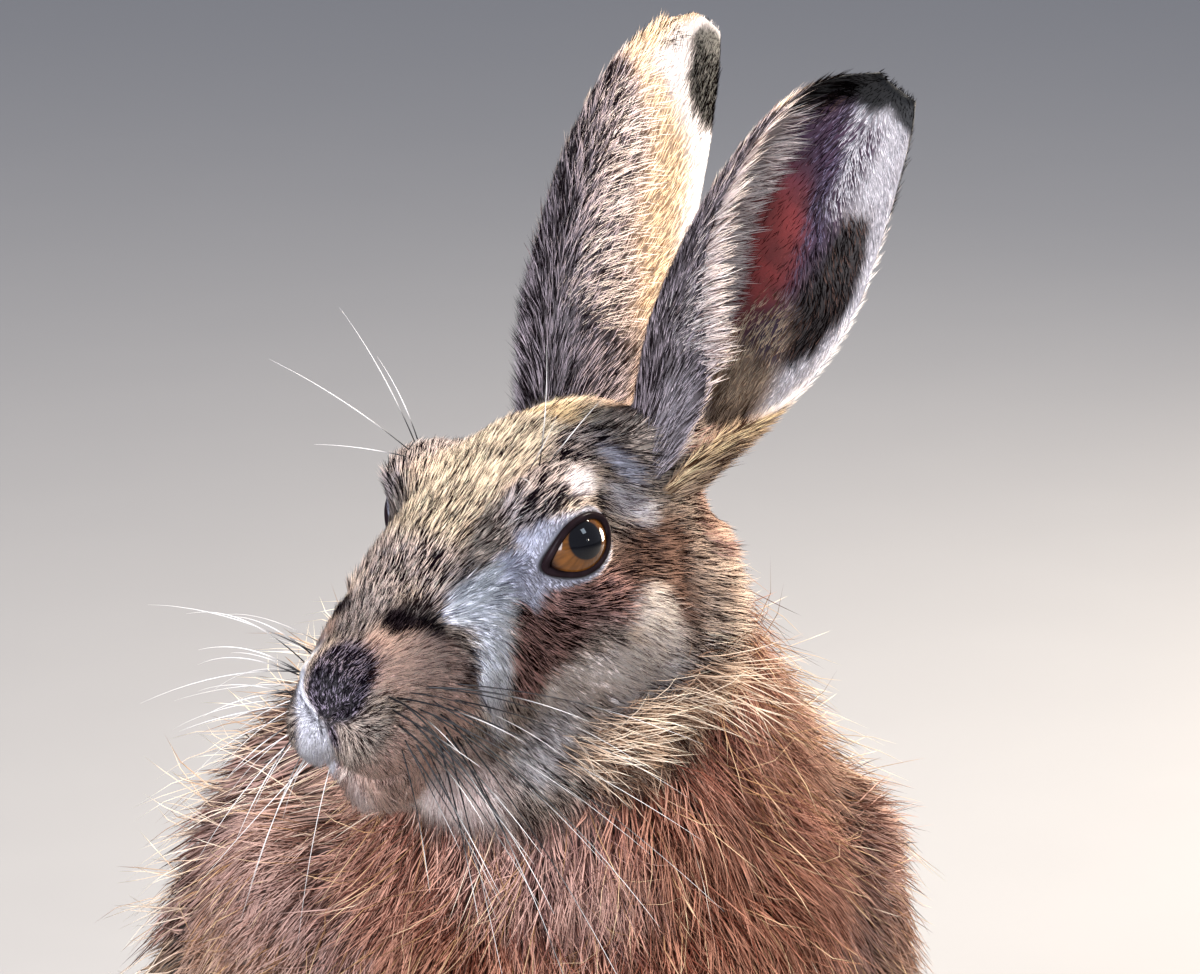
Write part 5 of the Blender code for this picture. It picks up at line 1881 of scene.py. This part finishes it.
@dataclass
class Claws:
    """The claws of all four feet, horn-brown and curved."""

    forepaw: tuple[float, ...] = (0.0365, -0.1592, 0.0108, 0.020, 0.0072, 0.0088)
    hindfoot: tuple[float, ...] = (0.0865, -0.0587, 0.0128, 0.026, 0.0080, 0.0108)
    rings: int = 12
    sides: int = 10

    def row(self, sizes: tuple[float, ...], side: int) -> tuple[Array, Array]:
        """The four claws of one foot."""
        tip_x, tip_y, spread, reach, height, length = sizes
        points, faces, start = [], [], 0
        share = np.linspace(0, 1, self.rings)
        for toe in range(4):
            aside = (toe - 1.5) / 1.5
            x = tip_x + aside * spread + aside * 0.001
            y = tip_y + abs(aside) ** 1.5 * reach * 0.30 - reach * 0.42 + 0.0015
            line = np.stack([
                side * (x + aside * 0.10 * length * share), y - (length + 0.001) * share,
                height * 0.72 - length * 0.30 * share**1.6,
            ], axis=1)
            radii = 0.00145 * (1 - share) ** 0.7 + 0.00012
            tube, triangles = swept_tube(line, radii, self.sides, np.array([0.0, 0.0, 1.0]))
            points.append(tube)
            faces.append(triangles + start)
            start += len(tube)
        return np.concatenate(points), np.concatenate(faces)

    def build(self) -> list[bpy.types.Object]:
        """Each foot's claws as a piece."""
        finish = WetFinish("claw_horn", roughness=0.42, coat=0.25, coat_roughness=0.3,
                           scale=700.0, contrast=0.5, relief=0.2).material()
        made = []
        for name, sizes in (("forepaw", self.forepaw), ("hindfoot", self.hindfoot)):
            for word, side in (("left", 1), ("right", -1)):
                points, faces = self.row(sizes, side)
                mesh = mesh_from(f"claws_{name}_{word}", points, faces)
                pale = fade(points[:, 1].min() + 0.006, points[:, 1].min(), points[:, 1])
                horn, tip = np.array([0.045, 0.032, 0.026]), np.array([0.20, 0.16, 0.13])
                paint_points(mesh, horn + pale[:, None] * (tip - horn))
                piece = placed(mesh.name, mesh, finish)
                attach(piece, "root")
                made.append(piece)
        return made


# The studio


@dataclass
class Studio:
    """Camera at the photograph's angle, soft lights and a pale floor."""

    middle: Vector
    azimuth: float = -12.0
    elevation: float = 12.0
    pixel: float = 0.2325
    eye_pixel: tuple[float, float] = (492.0, 533.0)
    picture: tuple[float, float] = (1200.0, 974.0)
    distance: float = 2.2

    def camera(self) -> bpy.types.Object:
        """The camera, which frames the head and breast as the photograph does."""
        a, e = math.radians(self.azimuth), math.radians(self.elevation)
        back = Vector((math.sin(a) * math.cos(e), -math.cos(a) * math.cos(e), math.sin(e)))
        right = Vector((math.cos(a), math.sin(a), 0))
        up = back.cross(right)
        step = self.pixel * MM
        aside = (self.picture[0] / 2 - self.eye_pixel[0]) * step
        rise = (self.eye_pixel[1] - self.picture[1] / 2) * step
        target = self.middle + right * aside + up * rise
        lens = bpy.data.cameras.new("portrait")
        lens.sensor_width = 36.0
        lens.sensor_fit = "HORIZONTAL"
        lens.lens = 36.0 * self.distance / (self.picture[0] * step)
        lens.clip_start = 0.05
        camera = bpy.data.objects.new("portrait", lens)
        pose = Matrix((right, up, back)).transposed().to_4x4()
        camera.matrix_world = Matrix.Translation(target + back * self.distance) @ pose
        bpy.context.scene.collection.objects.link(camera)
        bpy.context.scene.camera = camera
        return camera

    @staticmethod
    def softbox(name: str, place: Point, aim: Point, size: float, power: float,
                tone: Colour) -> None:
        """A square light that points at a place."""
        light = bpy.data.lights.new(name, "AREA")
        light.size = size
        light.energy = power
        light.color = tone
        lamp = bpy.data.objects.new(name, light)
        towards = Vector(aim) - Vector(place)
        lamp.matrix_world = (Matrix.Translation(place)
                             @ towards.to_track_quat("-Z", "Y").to_matrix().to_4x4())
        bpy.context.scene.collection.objects.link(lamp)

    def lights(self) -> None:
        """A broad key light, a fill, a rim light from behind and an even sky."""
        aim = (0.0, -0.05, 0.24)
        self.softbox("key", (0.90, 0.32, 1.38), aim, 0.42, 56.0, (1.0, 0.90, 0.77))
        self.softbox("rim", (1.20, 0.72, 0.30), aim, 0.4, 20.0, (1.0, 0.86, 0.68))
        self.softbox("fill", (-1.15, -1.45, 0.5), aim, 1.0, 66.0, (0.90, 0.92, 1.0))
        self.softbox("catch", (1.25, -1.15, 1.6), aim, 0.5, 9.0, (0.72, 0.86, 1.0))
        world = bpy.data.worlds.new("studio")
        world.use_nodes = True
        sky = world.node_tree.nodes["Background"]
        sky.inputs["Color"].default_value = (0.80, 0.85, 1.0, 1.0)
        sky.inputs["Strength"].default_value = 0.48
        bpy.context.scene.view_settings.view_transform = "Standard"
        bpy.context.scene.world = world

    def floor(self) -> bpy.types.Object:
        """A wide pale floor with a faint grain."""
        bm = bmesh.new()
        bmesh.ops.create_grid(bm, x_segments=8, y_segments=8, size=7.0)
        mesh = bpy.data.meshes.new("studio_floor")
        bm.to_mesh(mesh)
        bm.free()
        paint_points(mesh, np.tile(np.array([0.33, 0.33, 0.34]), (len(mesh.vertices), 1)))
        finish = HairFinish("floor_paint", 14.0, 0.05, 0.75, 0.03, specular=0.2)
        piece = placed("studio_floor", mesh, finish.material())
        piece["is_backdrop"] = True
        return piece


# Putting it together


@dataclass
class Hare:
    """The whole animal, built from the skin outwards."""

    frame: HeadFrame

    def unwrapped(self, piece: bpy.types.Object) -> Array:
        """Unwraps the skin's own shape and gives each triangle's three places on it."""
        bpy.ops.object.select_all(action="DESELECT")
        bpy.context.view_layer.objects.active = piece
        piece.select_set(True)
        piece.data.uv_layers.new(name=COAT_MAP)
        bpy.ops.object.mode_set(mode="EDIT")
        bpy.ops.mesh.select_all(action="SELECT")
        bpy.ops.uv.smart_project(angle_limit=math.radians(66), island_margin=0.002)
        bpy.ops.object.mode_set(mode="OBJECT")
        spots = np.empty(len(piece.data.loops) * 2, np.float32)
        piece.data.uv_layers[COAT_MAP].data.foreach_get("uv", spots)
        return spots.reshape(-1, 3, 2)

    def skin(self) -> tuple:
        """The skin with both ears as one piece, and what grows on each."""
        maker = HareSkin(self.frame)
        surface, parts = maker.build()
        field = Markings(surface, parts, self.frame, maker).build()
        ears = []
        for ear in (Ear(self.frame, True), Ear(self.frame, False, 1.10, (4, -0.8, 0), 26, 8)):
            shape, marks = ear.build()
            ears.append((ear, shape, marks, ear.field(shape, marks)))
        points = [surface.points] + [shape.points for _, shape, _, _ in ears]
        tones = [field.skin_colours_with_painted_shade()]
        tones += [Ear.skin_colours_with_painted_shade(grown, marks) for _, _, marks, grown in ears]
        start, faces = 0, []
        for rows, shape in zip(points, [surface] + [shape for _, shape, _, _ in ears]):
            faces.append(shape.triangles + start)
            start += len(rows)
        mesh = mesh_from("skin", np.concatenate(points), np.concatenate(faces))
        paint_points(mesh, np.concatenate(tones))
        finish = HairFinish("bare_skin", 1400.0, 0.5, 0.6, 0.5, sheen=0.05, specular=0.35)
        piece = placed("skin", mesh, finish.material())
        corners = self.unwrapped(piece)
        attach(piece, "root")
        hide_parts(*FLESH_NODES, *EAR_NODES)
        counts = np.cumsum([len(part) for part in faces])
        return field, parts, ears, np.split(corners, counts[:-1])

    def coat(self, field: CoatField, parts: dict[str, Array], corners: Array) -> None:
        """The coat of the head, neck, body, legs and tail."""
        grizzled = HairFinish("grizzled_hair").material()
        rufous = HairFinish("rufous_hair", roughness=0.56, specular=0.03).material()
        body, head = field.surface.points / MM, fade(0.25, 0.75, parts["head"])
        places = self.frame.inward(field.surface.points)
        snout = 1 - fade(-44, -34, places[:, 1])
        front = (1 - fade(6, 22, places[:, 1])) * (1 - snout)
        rear = 1 - snout - front
        main = Coat(field, corners, grizzled, Slot.GRIZZLED)
        warm = Coat(field, corners, rufous, Slot.RUFOUS)
        main.grow(TuftStyle("coat_snout", 38000, 0.21, spread=12, clump=3, gather=0.2,
                            streak=0.15, grain=0.3, drawn=0.5, sink=0.15), head * snout)
        main.grow(TuftStyle("coat_face", 62000, 0.25, spread=8, clump=5, gather=0.4,
                            curl=0.22, sink=0.2), head * front)
        main.grow(TuftStyle("coat_crown", 31000, 0.29, spread=9, clump=5, gather=0.4,
                            curl=0.22, sink=0.25), head * rear)
        jaw = Zone(((21, -1, -49), (25, 5, -46), (29, 13, -42), (32, 24, -40), (34, 33, -38)),
                   6.5, 0.6)
        main.grow(TuftStyle("coat_jaw_fringe", 260, 0.24, rings=3, longer=2.5, spread=10,
                            sway=22, clump=1, curl=0.4, droop=0.7, raised=1.5, tone=STRAW),
                  jaw.mask(places) * parts["head"])
        under = Zone(((24, 6, -54), (32, 22, -48), (35, 34, -40)), 9, 0.6)
        main.grow(TuftStyle("coat_jaw_tangle", 900, 0.24, rings=3, longer=1.3, spread=30,
                            sway=44, clump=4, gather=0.5, curl=0.8, raised=1.4,
                            tone=GOLDEN), under.mask(places) * parts["head"])
        behind = Zone(((28, 43, 10), (27, 47, 0), (26, 50, -8)), 8, 0.6).mask(places)
        main.grow(TuftStyle("coat_ear_root", 1400, 0.34, rings=2, longer=1.1, spread=14,
                            clump=5, curl=0.3, tone=FLANK), behind)
        breast = np.maximum(parts["neck"], parts["torso"] * fade(-62, -86, body[:, 1]))
        breast = np.maximum(breast, parts["foreleg"] * fade(110, 150, body[:, 2]))
        breast = breast * (1 - head)
        warm.grow(TuftStyle("coat_breast", 26000, 0.42, rings=2, flat=0.45, longer=1.1,
                            spread=14, sway=26, clump=8, gather=0.55, curl=0.35, sink=1.5,
                            grain=1.0, drawn=7.0), breast)
        warm.grow(TuftStyle("coat_breast_hair", 6000, 0.24, rings=3, longer=1.3, spread=20,
                            sway=30, clump=3, gather=0.4, curl=0.6, raised=1.2,
                            grain=0.9, drawn=5.0), breast)
        warm.grow(TuftStyle("coat_breast_wisps", 900, 0.24, rings=3, longer=1.5, spread=22,
                            sway=34, clump=3, gather=0.4, curl=0.8, raised=1.4,
                            tone=GOLD), breast)
        paws = np.maximum(parts["forepaw"], parts["hindfoot"])
        limbs = parts["foreleg"] * (1 - fade(110, 150, body[:, 2]))
        rest = np.clip(1 - head - breast - paws - limbs - parts["tail"], 0, 1)
        main.grow(TuftStyle("coat_body", 20000, 0.95, flat=0.35, spread=10, sway=16, clump=5,
                            gather=0.4, curl=0.22, sink=1.5, grain=1.3, drawn=6.0), rest)
        main.grow(TuftStyle("coat_body_locks", 6500, 0.8, rings=2, flat=0.35, longer=1.08,
                            spread=12, sway=18, clump=6, gather=0.5, curl=0.3, sink=1.5,
                            grain=1.3, drawn=6.0), rest)
        main.grow(TuftStyle("coat_body_wisps", 1200, 0.34, rings=3, longer=1.4, spread=24,
                            sway=30, clump=3, gather=0.5, curl=0.7, raised=1.6, tone=STRAW),
                  rest * fade(80, 130, body[:, 2]))
        warm.grow(TuftStyle("coat_forelegs", 5000, 0.7, rings=2, flat=0.4, spread=8,
                            clump=5, gather=0.3, sink=0.8, grain=1.2, drawn=4.0), limbs)
        main.grow(TuftStyle("coat_feet", 12000, 0.6, spread=10, clump=4, gather=0.25,
                            sink=0.6), paws)
        tail_hair = HairFinish("tail_hair").material()
        Coat(field, corners, tail_hair, Slot.TAIL).grow(
            TuftStyle("coat_tail", 3600, 1.0, rings=2, flat=0.35, spread=14, clump=6,
                      gather=0.4, sink=1.2), parts["tail"] * (1 - rest))

    def ear_coat(self, ears: Sequence[tuple], corners: Sequence[Array]) -> None:
        """The coat of both ears."""
        finish = HairFinish("ear_hair").material()
        for (ear, _, marks, field), spots in zip(ears, corners):
            word = "left" if ear.left else "right"
            inner = 1 - marks["outer"]
            fringe = inner * (1 - Ear.past(marks["across"], marks["along"], Ear.FRINGE_END, 0.02))
            coat = Coat(field, spots, finish, Slot.EAR)
            coat.grow(TuftStyle(f"coat_ear_{word}", 22000, 0.27, spread=9, clump=4,
                                gather=0.25, sink=0.25), 1 - 0.6 * fringe)
            coat.grow(TuftStyle(f"fringe_ear_{word}", 4200, 0.23, rings=2, spread=8,
                                longer=1.2, clump=4, gather=0.25, streak=0.15, sink=0.3),
                      fringe)

    def build(self) -> None:
        """Builds every piece in order."""
        field, parts, ears, corners = self.skin()
        self.coat(field, parts, corners[0])
        self.ear_coat(ears, corners[1:])
        for side in (1, -1):
            Eyeball(self.frame, side).build()
        LidRims(self.frame).build()
        Claws().build()


def main() -> None:
    """Loads the frame, builds the hare and its studio, and logs the skin and coat pieces as they
    are made.
    """
    logging.basicConfig(level=logging.INFO, format="%(message)s")
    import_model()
    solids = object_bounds()
    corners = [np.array([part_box(name)[k] for name in EYE_NODES]) for k in (0, 1)]
    between = (corners[0].mean(axis=0) + corners[1].mean(axis=0)) / 2
    aside = HeadFrame(Vector()).directions(np.array([0.0, *EYE.centre[1:]]))
    middle = Vector(between - aside * MM)
    frame = HeadFrame(middle)
    studio = Studio(middle)
    studio.camera()
    studio.lights()
    studio.floor()
    Hare(frame).build()
    size = np.array(solids[1] - solids[0])
    room = 0.03 * size + 0.008
    Whiskers(frame, np.array(solids[0]) - room, np.array(solids[1]) + room).build()
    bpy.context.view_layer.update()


if __name__ == "__main__":
    main()
